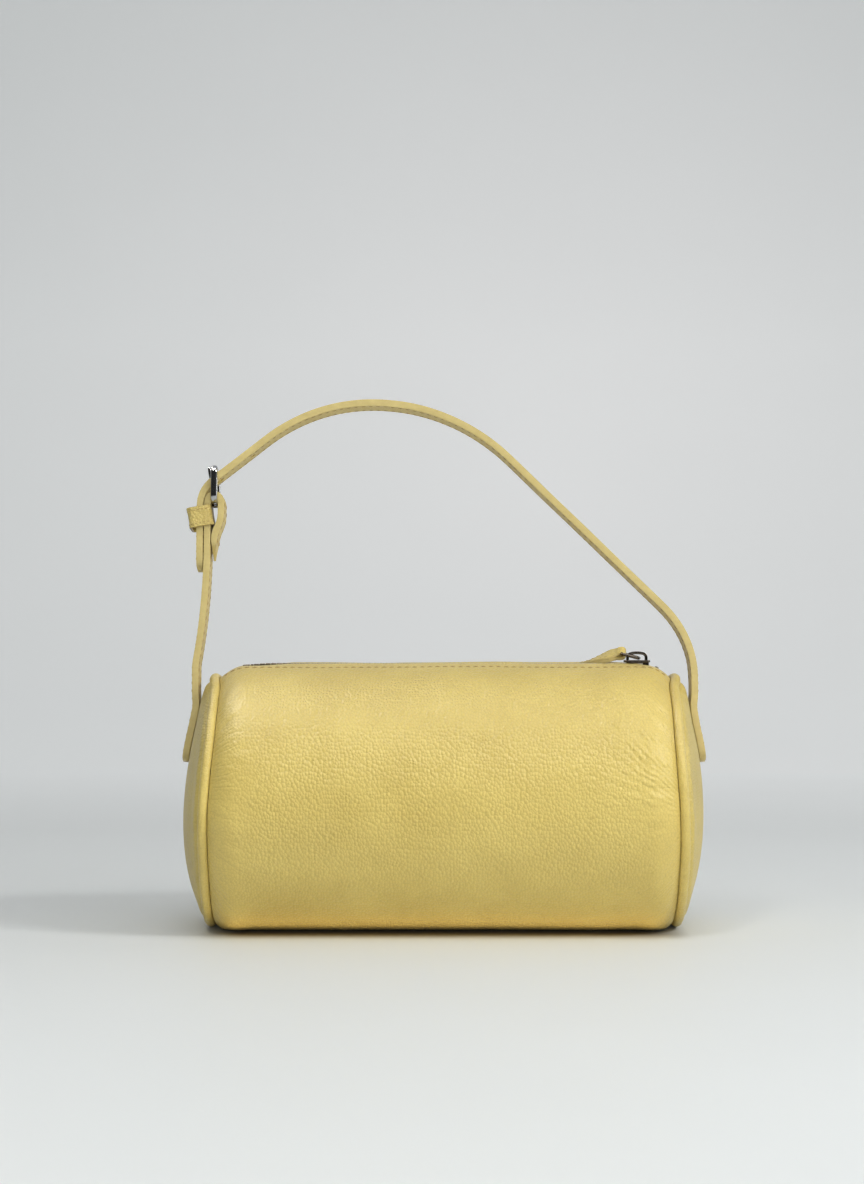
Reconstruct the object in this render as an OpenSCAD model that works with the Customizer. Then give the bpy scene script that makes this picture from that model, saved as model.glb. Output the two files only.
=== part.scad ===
// Barrel bag of stiffened leather: a round body lying on its side, domed ends with piping,
// a zip along the top, and one long handle strap that buckles to a short one.
// X runs along the barrel, Z is up, the front faces -Y, the origin is under the middle on the table.

/* [Body] */
// Radius of the barrel outside the leather
barrel_r = 66; // [60:1:80]
// How far the flattened base cuts into the round of the barrel
base_flat = 3; // [2:0.5:4]
// Half length of the barrel between its two end seams
seam_half = 110; // [100:1:140]
// Radius that rounds the barrel's shoulder down to the end seam
shoulder_r = 18; // [16:1:22]
// Length along the barrel that the shoulder takes before the seam
shoulder_l = 14; // [10:0.5:15]
// How far each end bulges outwards at its middle
dome_rise = 12.5; // [8:0.5:18]
// Thickness of the leather
leather_t = 1.6; // [1.2:0.1:2]
// Thickness of the stiffener that the leather is glued to
stiffener_t = 1; // [0.6:0.1:1.6]
// Thickness of the lining
lining_t = 0.6; // [0.4:0.1:0.9]
// Thickness of the board in the base
board_t = 2; // [1:0.5:3]
// Gap between two layers that lie on each other
layer_gap = 0.1; // [0.05:0.05:0.2]

/* [Piping] */
// Radius of the piping outside its leather
piping_r = 2.4; // [2:0.1:3]
// Thickness of the leather round the piping cord
piping_t = 0.8; // [0.5:0.1:1]
// Depth of the seam allowance that is turned in at each end
seam_depth = 7; // [5:0.5:9]

/* [Zip] */
// Width of one toothed half of the closed chain
tooth_reach = 3; // [2.5:0.1:3.4]
// Spacing of the teeth on one half
tooth_pitch = 2.8; // [2.6:0.1:3.6]
// Height of a tooth
tooth_h = 2.6; // [2:0.1:3]
// Thickness of the zip tape
tape_t = 0.6; // [0.4:0.1:0.8]
// Half width of the zip tape from the middle of the chain to its far edge
tape_reach = 16; // [14:0.5:18]
// Half width of the gap between the two folded leather edges
gap_half = 5.6; // [5:0.1:7]
// Leather left over the tape where the edge is thinned and folded
edge_t = 0.9; // [0.7:0.1:1.1]
// Length of the slider
slider_l = 13; // [11:0.5:14]
// Distance of the closed slider's middle from the start of the rounded shoulder
slider_gap = 2; // [2:1:12]
// Thickness of the slider's plates
plate_t = 1.1; // [0.8:0.1:1.4]
// Height of the bridge over the slider's top plate
bridge_h = 4.2; // [3.8:0.1:5]

/* [Pull] */
// Radius of the wire of the pull link
link_wire_r = 0.65; // [0.5:0.05:0.8]
// Distance between the two cross bars of the pull link
link_l = 8.8; // [8.6:0.1:10]
// Distance between the two side bars of the pull link
link_w = 7.4; // [7:0.1:8]
// Length of the leather pull tab from the link to its tip
tab_l = 24; // [20:1:30]
// Greatest width of the pull tab
tab_w = 11; // [8:0.5:13]
// Thickness of the pull tab, two layers of leather
tab_t = 3; // [2:0.1:3.4]
// Angle by which the link stands up from the slider
link_rise = 15; // [13:1:20]
// Angle by which the tab droops from the link's end
tab_droop = 7; // [3:0.5:7]
// Angle by which the link and tab turn to the back
pull_yaw = 12; // [6:1:14]

/* [Handle] */
// Width of the handle strap
strap_w = 15; // [12:1:18]
// Thickness of the handle strap
strap_t = 3.2; // [2.4:0.1:3.6]
// Distance below the top of the barrel at which the strap leaves the end and bends
pivot_drop = 11.5; // [10:0.5:13]
// Length of the sewn strap end below that bend
sewn_l = 37.1; // [30:0.1:47]
// Angle by which the handle leans back at rest
handle_lean = 6; // [0:1:10]
// Greatest angle of the handle from upright, forwards and back
swing_limit = 62; // [40:1:62]
// Radius of the crown of the handle on the buckle's side
crown_left_r = 84.4; // [80:0.5:92]
// Radius of the crown of the handle on the plain side
crown_right_r = 96; // [90:0.5:104]
// Slope of the strap between the crown and the buckle
slope_left = 38; // [36:0.5:40]
// Slope of the strap between the crown and the plain end
slope_right = 44.3; // [43:0.1:46]
// Radius with which the long strap turns down to its plain end
foot_r = 50.4; // [46:0.2:54]
// Radius with which the long strap turns down behind the buckle
bend_r = 15; // [14.6:0.1:16]
// Length of the straight tail of the long strap below that turn
tail_l = 33; // [28:0.5:36]

/* [Buckle] */
// Radius of the buckle's bar
bar_r = 1.7; // [1.4:0.05:1.8]
// Distance between the buckle's heel bar and toe bar
buckle_l = 15.6; // [15.4:0.1:17]
// Height of the heel bar over the handle's pivot
heel_s = 91; // [90:0.1:92]
// Radius of the prong
prong_r = 0.95; // [0.8:0.05:1.1]
// Height of the keeper loop along the strap
keeper_h = 10.4; // [9:0.1:10.6]
// Thickness of the keeper's leather
keeper_t = 1.2; // [0.8:0.1:1.3]
// Free room between the strap's tail and the keeper's outer side
keeper_slack = 2.4; // [1:0.1:3.5]

/* [Hidden] */
$fn = 96;

// Extra length that a cutter runs past what it cuts
over = 1;
// Gap between pieces of two moving bodies
free = 0.3;
// Radial gap of a wire or bar in the bore that turns on it
turn_fit = 0.06;
leather_c = [0.86, 0.79, 0.47];
leather_dark_c = [0.78, 0.68, 0.38];
lining_c = [0.62, 0.55, 0.42];
steel_c = [0.8, 0.8, 0.82];

// Height of the barrel's axis over the table
axis_h = barrel_r - base_flat;
// Body layers, counted inwards from the outside of the leather
straight_half = seam_half - shoulder_l;
stiffener_in = leather_t + layer_gap;
lining_in = stiffener_in + stiffener_t + layer_gap;
inside_in = lining_in + lining_t;
// Floors of the layers over the table
stiffener_floor = leather_t + layer_gap;
board_floor = stiffener_floor + stiffener_t + layer_gap;
lining_floor = board_floor + board_t + layer_gap;
inside_floor = lining_floor + lining_t;
// Radius of the leather at the end seam
seam_r = barrel_r - shoulder_r + sqrt(pow(shoulder_r, 2) - pow(shoulder_l, 2));
// Circle that the piping's middle follows, and its place along the barrel
ring_r = seam_r - piping_r * 0.35;
ring_x = seam_half + layer_gap + piping_r;
// Seam allowances
allowance_r = seam_r - seam_depth;
flange_t = 2 * piping_t;
// Domed end: it starts beside the piping
dome_x = ring_x + piping_r + layer_gap;
rim_r = seam_r - piping_r * 0.45;
rim_t = leather_t * 0.3;
dome_top = dome_x + rim_t + dome_rise;
dome_r = (pow(rim_r, 2) + pow(dome_rise, 2)) / (2 * dome_rise);
dome_c = dome_top - dome_r;
// End linings stop short of the seam allowances
end_lining_x = seam_half - 2 * leather_t - layer_gap;
lining_rim = allowance_r - leather_t;
lining_edge_x = dome_c + sqrt(pow(dome_r - (lining_in + inside_in) / 2, 2) - pow(lining_rim, 2));
// Base board, between the stiffener's rounded sides
board_half = sqrt(pow(barrel_r - lining_in, 2) - pow(axis_h - board_floor, 2));
board_l = 2 * straight_half;

// Zip: tape and chain lie in the gap between the leather edges
tape_in = edge_t + layer_gap;
chain_in = tape_in + tape_t / 2;
chain_z = axis_h + barrel_r - chain_in;
chain_arc_r = shoulder_r - chain_in;
tooth_t = tooth_pitch / 2 - layer_gap;
tooth_cross = 0.6;
plate_play = 0.25;
channel_half = tooth_reach + plate_play;
flange_w = 0.95;
slider_half = channel_half + flange_w;
slider_x = straight_half - slider_gap;
plate_low = tooth_h / 2 + plate_play;
tape_slot = 0.65 + tape_t / 2;
post_l = slider_l * 0.24;
post_x = slider_l * 0.34;
teeth_end = slider_x + post_x - post_l / 2 - free;
stop_l = 3.2;
bottom_stop_x = -straight_half - stop_l * 0.4;
teeth_start = bottom_stop_x + stop_l / 2 + tooth_t;
teeth_n = floor((teeth_end - teeth_start - tooth_t) / tooth_pitch);
// Outline of one tooth, as shares of its thickness and reach: root, neck and head
tooth_shares = [
    [-0.5, 1], [-0.5, 0.42], [-0.3, 0.3], [-0.3, 0.12], [-0.5, 0], [-0.34, -0.19],
    [0.34, -0.19], [0.5, 0], [0.3, 0.12], [0.3, 0.3], [0.5, 0.42], [0.5, 1]
];
// Outline of the slider's plates, as shares of its length and half width
plate_shares = [
    [-0.5, 0.55], [-0.44, 0.8], [0.1, 0.9], [0.3, 1], [0.44, 1], [0.5, 0.75],
    [0.47, 0.3], [0.47, -0.3], [0.5, -0.75], [0.44, -1], [0.3, -1], [0.1, -0.9],
    [-0.44, -0.8], [-0.5, -0.55]
];
bridge_t = 1.1;
bridge_w = 2.4;
bridge_l = slider_l * 0.7;
bridge_round = 2;
plate_top = chain_z + plate_low + plate_t;

// Pull link and tab
link_x = slider_x + slider_l * 0.08;
link_z = plate_top + link_wire_r + free;
link_corner = 1.4;
loop_r = link_wire_r + turn_fit + 1.5;
loop_w = link_w - 2 * link_wire_r - 2 * free;
// Outline of the pull tab, as shares of its length and half width
tab_shares = [
    [0.1, 0], [0.14, 0.6], [0.24, 0.9], [0.36, 1], [0.52, 0.98], [0.7, 0.8], [0.86, 0.5],
    [0.96, 0.22], [1, 0]
];

// Handle: the strap ends turn about an axis along X at the height pivot_h
pivot_h = axis_h + barrel_r - pivot_drop;
tail_low = pivot_h - sewn_l;
strap_half = strap_w / 2;
pivot_face = dome_c + sqrt(pow(dome_r, 2) - pow(pivot_h - strap_half - axis_h, 2)) + free;
strap_x = pivot_face + strap_t / 2;
short_rise = 9;
short_kink_r = 12;
short_kink = 10;
short_bow_r = 330;
short_x = -strap_x + (short_kink_r + short_bow_r) * (1 - cos(short_kink));
short_top = short_rise + (short_kink_r + short_bow_r) * sin(short_kink);
wrap_r = bar_r + turn_fit + strap_t / 2;
heel_x = short_x + wrap_r;
fold_drop = 6.5;
fold_angle = 28.8;
fold_shift = 2 * wrap_r - strap_t - layer_gap;
fold_r = fold_shift / (2 * (1 - cos(fold_angle)));
fold_end = 9.4;
tail_x = short_x - strap_t - 0.5;
bend_s = heel_s - 2;
foot_s = 2.8;
// Straight stretches of the long strap, from the places of its two ends
span_x = strap_x - tail_x - bend_r * (1 - sin(slope_left)) - crown_left_r * sin(slope_left)
    - crown_right_r * sin(slope_right) - foot_r * (1 - sin(slope_right));
span_s = foot_s - bend_s - bend_r * cos(slope_left) - crown_left_r * (1 - cos(slope_left))
    + crown_right_r * (1 - cos(slope_right)) + foot_r * cos(slope_right);
left_run = (span_x * sin(slope_right) + span_s * cos(slope_right)) / sin(slope_left + slope_right);
right_run = (span_x * sin(slope_left) - span_s * cos(slope_left)) / sin(slope_left + slope_right);

// Buckle
rail_y = strap_half + 0.4 + bar_r;
corner_r = rail_y - strap_half;
prong_angle = asin((bar_r + prong_r + free) / buckle_l);
prong_l = buckle_l + bar_r + prong_r;
prong_ring_r = bar_r + 1.2;
prong_ring_w = 3;
prong_slot_w = prong_ring_w + 2 * free;
tilt_in = 2;
tilt_out = 5;
lift = 5;
hole_w = 2 * prong_r + 1.2;
hole_reach = [5.5, 15];
hole_pitch = 20;
keeper_s = heel_s - bar_r - 1.2 - keeper_h;
keeper_out = tail_x - strap_t / 2 - keeper_slack - keeper_t;
keeper_in = short_x + strap_t / 2 + 0.2 + keeper_t;
keeper_fit = 0.4;

// Stitches
stitch_l = 2;
stitch_w = 0.5;
stitch_t = 0.3;
stitch_pitch = 3.7;
zip_stitch_y = tape_reach - 1.2;
tail_stitch_in = 2;
tail_stitch_turns = 7;

// Points of a path of moves [radius, turn] or [0, length], each point with its heading
function arc_points(x, s, h, r, turn, n) = [
    for (i = [1:n]) let (a = h + turn * i / n, side = sign(turn))
        [x + side * r * (sin(a) - sin(h)), s - side * r * (cos(a) - cos(h)), a]
];
function move_points(p, m) = m[0] == 0
    ? [[p[0] + m[1] * cos(p[2]), p[1] + m[1] * sin(p[2]), p[2]]]
    : arc_points(p[0], p[1], p[2], m[0], m[1], max(2, ceil(abs(m[1]) / (m[0] > 40 ? 4 : 10))));
function walk(p, moves, i = 0) = i == len(moves)
    ? [p]
    : let (next = move_points(p, moves[i]))
        concat([p], [for (j = [0:len(next) - 2]) if (len(next) > 1) next[j]],
            walk(next[len(next) - 1], moves, i + 1));
function beside(path, d) = [for (p = path) [p[0] - d * sin(p[2]), p[1] + d * cos(p[2])]];
function reversed(list) = [for (i = [len(list) - 1:-1:0]) list[i]];
function band(path, t) = concat(beside(path, t / 2), reversed(beside(path, -t / 2)));

// Path of the short strap up from its pivot, round the heel bar and back down inside
short_path = walk([-strap_x, 0, 90], [
    [0, short_rise], [short_kink_r, -short_kink], [short_bow_r, short_kink],
    [0, heel_s - short_top], [wrap_r, -180], [0, fold_drop],
    [fold_r, -fold_angle], [fold_r, fold_angle], [0, fold_end]
]);
// Path of the long strap from the end of its tail, over the crown, down to its pivot
long_path = walk([tail_x, bend_s - tail_l + strap_half, 90], [
    [0, tail_l - strap_half], [bend_r, slope_left - 90], [0, left_run],
    [crown_left_r, -slope_left], [crown_right_r, -slope_right], [0, right_run],
    [foot_r, slope_right - 90], [0, foot_s]
]);

// Body helpers: shapes turned about the barrel's axis
module about_axis() {
    translate([0, 0, axis_h]) rotate([0, 90, 0]) children();
}
module barrel_round(inset, half) {
    core_r = barrel_r - shoulder_r;
    about_axis() rotate_extrude() intersection() {
        union() {
            translate([0, -straight_half]) square([barrel_r - inset, 2 * straight_half]);
            translate([0, -half]) square([core_r, 2 * half]);
            for (side = [-1, 1]) translate([core_r, side * straight_half])
                circle(shoulder_r - inset);
        }
        translate([0, -half]) square([barrel_r, 2 * half]);
    }
}
module above(floor_z) {
    size = 2 * (barrel_r + seam_half);
    translate([-size / 2, -size / 2, floor_z]) cube(size);
}
module barrel_layer(outer, outer_floor, inner, inner_floor, half) {
    difference() {
        intersection() {
            barrel_round(outer, half);
            above(outer_floor);
        }
        intersection() {
            barrel_round(inner, half + over);
            above(inner_floor);
        }
    }
}
module top_slot(half_w, length) {
    translate([-length / 2, -half_w, axis_h]) cube([length, 2 * half_w, barrel_r + over]);
}
module axis_ring(outer, inner, x, l) {
    about_axis() translate([0, 0, x]) difference() {
        cylinder(r = outer, h = l);
        translate([0, 0, -over]) cylinder(r = inner, h = l + 2 * over);
    }
}
module barrel_panel() {
    color(leather_c) difference() {
        union() {
            barrel_layer(0, 0, leather_t, leather_t, seam_half);
            for (x = [-seam_half, seam_half - leather_t]) intersection() {
                axis_ring(seam_r, allowance_r, x, leather_t);
                above(leather_t);
            }
        }
        top_slot(gap_half, 2 * (seam_half + over));
        intersection() {
            barrel_round(edge_t, seam_half + over);
            top_slot(tape_reach + free, 2 * (seam_half + over));
        }
    }
}
module panel_stiffener() {
    half = seam_half - leather_t - layer_gap;
    color("dimgray") difference() {
        barrel_layer(stiffener_in, stiffener_floor, lining_in - layer_gap, board_floor - layer_gap, half);
        top_slot(tape_reach + free, 2 * seam_half);
    }
}
module barrel_lining() {
    color(lining_c) difference() {
        barrel_layer(lining_in, lining_floor, inside_in, inside_floor, end_lining_x);
        top_slot(gap_half + 2.4, 2 * seam_half);
    }
}
module base_board() {
    color("tan") translate([-board_l / 2, -board_half, board_floor])
        cube([board_l, 2 * board_half, board_t]);
}

// One end's pieces are made on the right and mirrored for the left
module dome_ball(inset) {
    translate([dome_c, 0, axis_h]) rotate([0, 0, 180]) sphere(r = dome_r - inset, $fn = 128);
}
module dome_layer(outer, inner, edge, from_x) {
    intersection() {
        difference() {
            dome_ball(outer);
            dome_ball(inner);
        }
        about_axis() translate([0, 0, from_x]) cylinder(r = edge, h = dome_top);
    }
}
module dome_cap(inset, edge, from_x) {
    intersection() {
        dome_ball(inset);
        about_axis() translate([0, 0, from_x]) cylinder(r = edge, h = dome_top);
    }
}
module end_panel() {
    color(leather_c) difference() {
        dome_cap(0, rim_r, dome_x);
        dome_cap(leather_t, allowance_r, dome_x - over);
    }
}
module end_stiffener() {
    color("dimgray")
        dome_layer(leather_t + layer_gap, stiffener_in + stiffener_t, allowance_r - free, dome_x);
}
module end_lining() {
    color(lining_c) union() {
        dome_layer(lining_in, inside_in, lining_rim, seam_half);
        axis_ring(lining_rim, lining_rim - lining_t, end_lining_x + layer_gap,
            lining_edge_x - end_lining_x - layer_gap);
        axis_ring(seam_r - inside_in, lining_rim - lining_t, end_lining_x + layer_gap, lining_t);
    }
}
module ring_round(r) {
    about_axis() translate([0, 0, ring_x]) rotate_extrude() translate([ring_r, 0]) circle(r, $fn = 32);
}
module piping_cover() {
    color(leather_c) difference() {
        union() {
            ring_round(piping_r);
            axis_ring(ring_r, allowance_r, ring_x - flange_t / 2, flange_t);
        }
        ring_round(piping_r - piping_t);
    }
}
module piping_cord() {
    color("ivory") ring_round(piping_r - piping_t - layer_gap);
}
module on_left() {
    mirror([1, 0, 0]) children();
}
module end_panel_left() { on_left() end_panel(); }
module end_panel_right() { end_panel(); }
module end_stiffener_left() { on_left() end_stiffener(); }
module end_stiffener_right() { end_stiffener(); }
module end_lining_left() { on_left() end_lining(); }
module end_lining_right() { end_lining(); }
module piping_cover_left() { on_left() piping_cover(); }
module piping_cover_right() { piping_cover(); }
module piping_cord_left() { on_left() piping_cord(); }
module piping_cord_right() { piping_cord(); }

// Zip: at_chain places a piece at a distance along the chain, over the left shoulder too
module at_chain(x) {
    past = max(0, abs(x) - straight_half);
    turn = sign(x) * past / chain_arc_r * 180 / PI;
    translate([sign(x) * min(abs(x), straight_half), 0, chain_z - chain_arc_r])
        rotate([0, turn, 0]) translate([0, 0, chain_arc_r]) children();
}
module zip_tape(side) {
    color(leather_dark_c) intersection() {
        difference() {
            barrel_round(tape_in, seam_half - layer_gap);
            barrel_round(tape_in + tape_t, seam_half);
        }
        translate([-seam_half, side > 0 ? tooth_reach : -tape_reach, axis_h])
            cube([2 * seam_half, tape_reach - tooth_reach, barrel_r]);
    }
}
module zip_tape_front() { zip_tape(-1); }
module zip_tape_back() { zip_tape(1); }
module tooth() {
    outline = [for (p = tooth_shares) [p[0] * tooth_t, p[1] * tooth_reach]];
    translate([0, 0, -tooth_h / 2]) linear_extrude(tooth_h) polygon(outline);
}
module zip_teeth(side) {
    first = teeth_start + (side > 0 ? tooth_pitch / 2 : 0);
    color(steel_c) for (i = [0:teeth_n - 1])
        at_chain(first + i * tooth_pitch) rotate([0, 0, side > 0 ? 0 : 180]) tooth();
}
module zip_teeth_front() { zip_teeth(-1); }
module zip_teeth_back() { zip_teeth(1); }
module zip_top_stops() {
    color(steel_c) for (side = [-1, 1])
        at_chain(slider_x + slider_l / 2 + stop_l) translate([0, side * (tooth_reach + layer_gap) / 2, 0])
            cube([stop_l / 2, tooth_reach - layer_gap, tooth_h], center = true);
}
module zip_bottom_stop() {
    color(steel_c) at_chain(bottom_stop_x)
        cube([stop_l, 2 * tooth_reach, tooth_h], center = true);
}
module slider_plate(low) {
    outline = [for (p = plate_shares) [p[0] * slider_l, p[1] * slider_half]];
    translate([0, 0, low]) linear_extrude(plate_t) polygon(outline);
}
module slider_bridge() {
    leg = bridge_h - bridge_round - bridge_t / 2;
    path = walk([-bridge_l / 2, -free, 90], [
        [0, leg + free], [bridge_round, -90], [0, bridge_l - 2 * bridge_round],
        [bridge_round, -90], [0, leg + free]
    ]);
    rotate([90, 0, 0]) linear_extrude(bridge_w, center = true) polygon(band(path, bridge_t));
}
module zip_slider() {
    wall_l = slider_l * 0.62;
    color(steel_c) translate([slider_x, 0, chain_z]) union() {
        slider_plate(plate_low);
        slider_plate(-plate_low - plate_t);
        translate([post_x, 0, -plate_low - plate_t / 2]) linear_extrude(2 * plate_low + plate_t)
            polygon([[-post_l / 2, 0], [0, tooth_cross], [post_l / 2, 0], [0, -tooth_cross]]);
        for (side = [-1, 1], up = [-1, 1])
            translate([-slider_l * 0.4, side * (channel_half + flange_w * 0.35) - flange_w * 0.35,
                up > 0 ? tape_slot : -plate_low - plate_t / 2])
                cube([wall_l, flange_w * 0.7, plate_low + plate_t / 2 - tape_slot]);
        translate([0, 0, plate_low + plate_t]) slider_bridge();
    }
}

// A closed loop of round bar in the XY plane, its first cross bar on the Y axis
module bar_loop(l, w, r, corner) {
    for (x = [0, l]) translate([x, 0, 0]) rotate([90, 0, 0])
        cylinder(r = r, h = w - 2 * corner, center = true, $fn = 32);
    for (y = [-w / 2, w / 2]) translate([l / 2, y, 0]) rotate([0, 90, 0])
        cylinder(r = r, h = l - 2 * corner, center = true, $fn = 32);
    for (i = [0:3]) {
        right = i == 0 || i == 3;
        back = i < 2;
        translate([right ? l - corner : corner, (back ? 1 : -1) * (w / 2 - corner), 0])
            rotate([0, 0, 90 * i]) rotate_extrude(angle = 90)
                translate([corner, 0]) circle(r, $fn = 32);
    }
}
module in_link() {
    translate([link_x, 0, link_z]) rotate([0, 0, 180 - pull_yaw]) rotate([0, -link_rise, 0]) children();
}
module pull_link() {
    color(steel_c) in_link() bar_loop(link_l, link_w, link_wire_r, link_corner);
}
module pull_tab() {
    half = tab_w / 2;
    side = [for (p = tab_shares) [p[0] * tab_l, p[1] * half]];
    color(leather_c) in_link() translate([link_l, 0, 0]) rotate([0, link_rise + tab_droop, 0])
        difference() {
            union() {
                translate([0, 0, -tab_t / 2]) linear_extrude(tab_t)
                    polygon(concat(side, reversed([for (p = side) [p[0], -p[1]]])));
                translate([0, -loop_w / 2, -tab_t / 2]) cube([tab_l * 0.25, loop_w, tab_t]);
                rotate([90, 0, 0]) cylinder(r = loop_r, h = loop_w, center = true, $fn = 48);
            }
            rotate([90, 0, 0])
                cylinder(r = link_wire_r + turn_fit, h = link_w, center = true, $fn = 48);
        }
}

// Handle: in_handle gives the frame of the leaning handle, with its pivot axis at zero height
module in_handle() {
    translate([0, 0, pivot_h]) rotate([-handle_lean, 0, 0]) children();
}
module strap_band(path) {
    rotate([90, 0, 0]) linear_extrude(strap_w, center = true) polygon(band(path, strap_t));
}
module round_end(x, s) {
    translate([x - strap_t / 2, 0, s]) rotate([0, 90, 0]) cylinder(r = strap_half, h = strap_t);
}
module strap_tail() {
    low_c = tail_low + strap_half;
    // The tail's sides end where the edge of the fully swung strap leaves the round seat
    seat_top = pivot_h - (strap_half + free) * sin(swing_limit);
    reach = dome_top - seam_half + 2 * strap_t;
    color(leather_c) difference() {
        intersection() {
            dome_ball(-layer_gap - strap_t);
            union() {
                translate([seam_half, 0, low_c]) rotate([0, 90, 0]) cylinder(r = strap_half, h = reach);
                translate([seam_half, -strap_half, low_c]) cube([reach, strap_w, seat_top - low_c]);
            }
        }
        dome_ball(-layer_gap);
        translate([seam_half - over, 0, pivot_h]) rotate([0, 90, 0])
            cylinder(r = strap_half + free, h = reach + 2 * over);
    }
}
module strap_tail_left() { on_left() strap_tail(); }
module strap_tail_right() { strap_tail(); }
module short_strap() {
    color(leather_c) in_handle() difference() {
        union() {
            strap_band(short_path);
            round_end(-strap_x, 0);
        }
        translate([heel_x - wrap_r - strap_t, -prong_slot_w / 2, heel_s - bar_r - over])
            cube([2 * (wrap_r + strap_t), prong_slot_w, bar_r + wrap_r + strap_t + 2 * over]);
    }
}
// Punched slot that lets the prong through the strap and lets it tilt and lift
module prong_hole() {
    gap = prong_r + free;
    low = 90 + prong_angle - tilt_in;
    high = 90 + prong_angle + tilt_out + lift;
    corners = [
        for (e = [[low, -1, 0], [low, -1, 1], [high, 1, 1], [high, 1, 0]])
            [hole_reach[e[2]] * cos(e[0]) - e[1] * gap * sin(e[0]),
                hole_reach[e[2]] * sin(e[0]) + e[1] * gap * cos(e[0])]
    ];
    translate([heel_x, 0, heel_s]) rotate([90, 0, 0])
        linear_extrude(hole_w, center = true) polygon(corners);
}
module long_strap() {
    crossing = [tail_x + bend_r * (1 - sin(slope_left)), bend_s + bend_r * cos(slope_left)];
    color(leather_c) in_handle() difference() {
        union() {
            strap_band(long_path);
            round_end(tail_x, bend_s - tail_l + strap_half);
            round_end(strap_x, 0);
        }
        prong_hole();
        translate([tail_x - strap_t, 0, bend_s - hole_pitch / 2]) rotate([0, 90, 0])
            cylinder(d = hole_w, h = 2 * strap_t);
        translate([crossing[0] + hole_pitch * cos(slope_left), 0,
            crossing[1] + hole_pitch * sin(slope_left)]) rotate([0, -slope_left, 0])
            cylinder(d = hole_w, h = 2 * strap_t, center = true);
    }
}
module in_buckle() {
    in_handle() translate([heel_x, 0, heel_s]) children();
}
module buckle_frame() {
    color(steel_c) in_buckle() rotate([0, -90, 0]) bar_loop(buckle_l, 2 * rail_y, bar_r, corner_r);
}
module buckle_prong() {
    color(steel_c) in_buckle() rotate([0, -prong_angle, 0]) difference() {
        union() {
            rotate([90, 0, 0]) cylinder(r = prong_ring_r, h = prong_ring_w, center = true, $fn = 48);
            cylinder(r = prong_r, h = prong_l, $fn = 32);
            translate([0, 0, prong_l]) sphere(r = prong_r, $fn = 32);
        }
        rotate([90, 0, 0])
            cylinder(r = bar_r + turn_fit, h = prong_ring_w + 2 * over, center = true, $fn = 48);
    }
}
module keeper_loop() {
    half = strap_half + keeper_fit;
    color(leather_dark_c) in_handle() translate([keeper_out, 0, keeper_s]) difference() {
        translate([0, -half - keeper_t, 0])
            cube([keeper_in - keeper_out, 2 * (half + keeper_t), keeper_h]);
        translate([keeper_t, -half, -over])
            cube([keeper_in - keeper_out - 2 * keeper_t, 2 * half, keeper_h + 2 * over]);
    }
}

// Stitches lie on the leather beside the zip and round the sewn strap ends
module zip_stitching() {
    turn = asin(zip_stitch_y / barrel_r);
    n = floor(straight_half / stitch_pitch);
    color(leather_dark_c) for (side = [-1, 1], i = [-n:n])
        translate([i * stitch_pitch, 0, axis_h]) rotate([side * turn, 0, 0])
            translate([0, 0, barrel_r + stitch_t / 2 + layer_gap / 2])
                cube([stitch_l, stitch_w, stitch_t], center = true);
}
module tail_stitching() {
    inset_r = strap_half - tail_stitch_in;
    low_c = tail_low + strap_half;
    rows = floor((pivot_h - strap_half - low_c - stitch_l) / stitch_pitch);
    reach = dome_top + 2 * strap_t;
    color(leather_dark_c) for (end = [0, 1]) mirror([end, 0, 0]) intersection() {
        difference() {
            dome_ball(-strap_t - 2 * layer_gap - stitch_t);
            dome_ball(-strap_t - 2 * layer_gap);
        }
        union() {
            for (side = [-1, 1], i = [0:rows])
                translate([0, side * inset_r - stitch_w / 2, low_c + i * stitch_pitch])
                    cube([reach, stitch_w, stitch_l]);
            for (i = [1:tail_stitch_turns - 1])
                translate([0, 0, low_c]) rotate([90 + 180 * i / tail_stitch_turns, 0, 0])
                    translate([0, -stitch_l / 2, inset_r - stitch_w / 2])
                        cube([reach, stitch_l, stitch_w]);
        }
    }
}

barrel_panel();
panel_stiffener();
barrel_lining();
base_board();
end_panel_left();
end_panel_right();
end_stiffener_left();
end_stiffener_right();
end_lining_left();
end_lining_right();
piping_cover_left();
piping_cover_right();
piping_cord_left();
piping_cord_right();
zip_tape_front();
zip_tape_back();
zip_teeth_front();
zip_teeth_back();
zip_top_stops();
zip_bottom_stop();
zip_slider();
pull_link();
pull_tab();
strap_tail_left();
strap_tail_right();
short_strap();
long_strap();
buckle_frame();
buckle_prong();
keeper_loop();
zip_stitching();
tail_stitching();
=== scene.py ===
"""Looks of a barrel bag in pebbled yellow leather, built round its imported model, in metres."""
import bpy
import math
import random
from mathutils import Matrix, Vector, noise


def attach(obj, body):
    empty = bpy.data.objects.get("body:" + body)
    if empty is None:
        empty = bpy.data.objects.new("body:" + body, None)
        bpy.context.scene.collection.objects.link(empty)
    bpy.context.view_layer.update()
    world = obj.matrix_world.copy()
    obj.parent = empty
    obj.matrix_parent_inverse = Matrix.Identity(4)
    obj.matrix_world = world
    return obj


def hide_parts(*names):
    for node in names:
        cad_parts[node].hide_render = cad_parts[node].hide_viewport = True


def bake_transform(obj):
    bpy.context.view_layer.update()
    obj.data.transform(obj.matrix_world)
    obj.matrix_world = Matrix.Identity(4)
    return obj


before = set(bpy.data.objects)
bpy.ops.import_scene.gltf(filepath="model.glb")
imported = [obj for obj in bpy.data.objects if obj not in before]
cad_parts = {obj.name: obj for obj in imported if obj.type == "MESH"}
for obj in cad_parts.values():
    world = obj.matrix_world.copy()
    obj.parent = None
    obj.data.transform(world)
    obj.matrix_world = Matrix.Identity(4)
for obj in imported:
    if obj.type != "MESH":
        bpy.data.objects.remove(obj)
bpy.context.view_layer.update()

MM = 0.001
RAD = math.pi / 180
ENDS = ((-1, "left"), (1, "right"))
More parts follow.
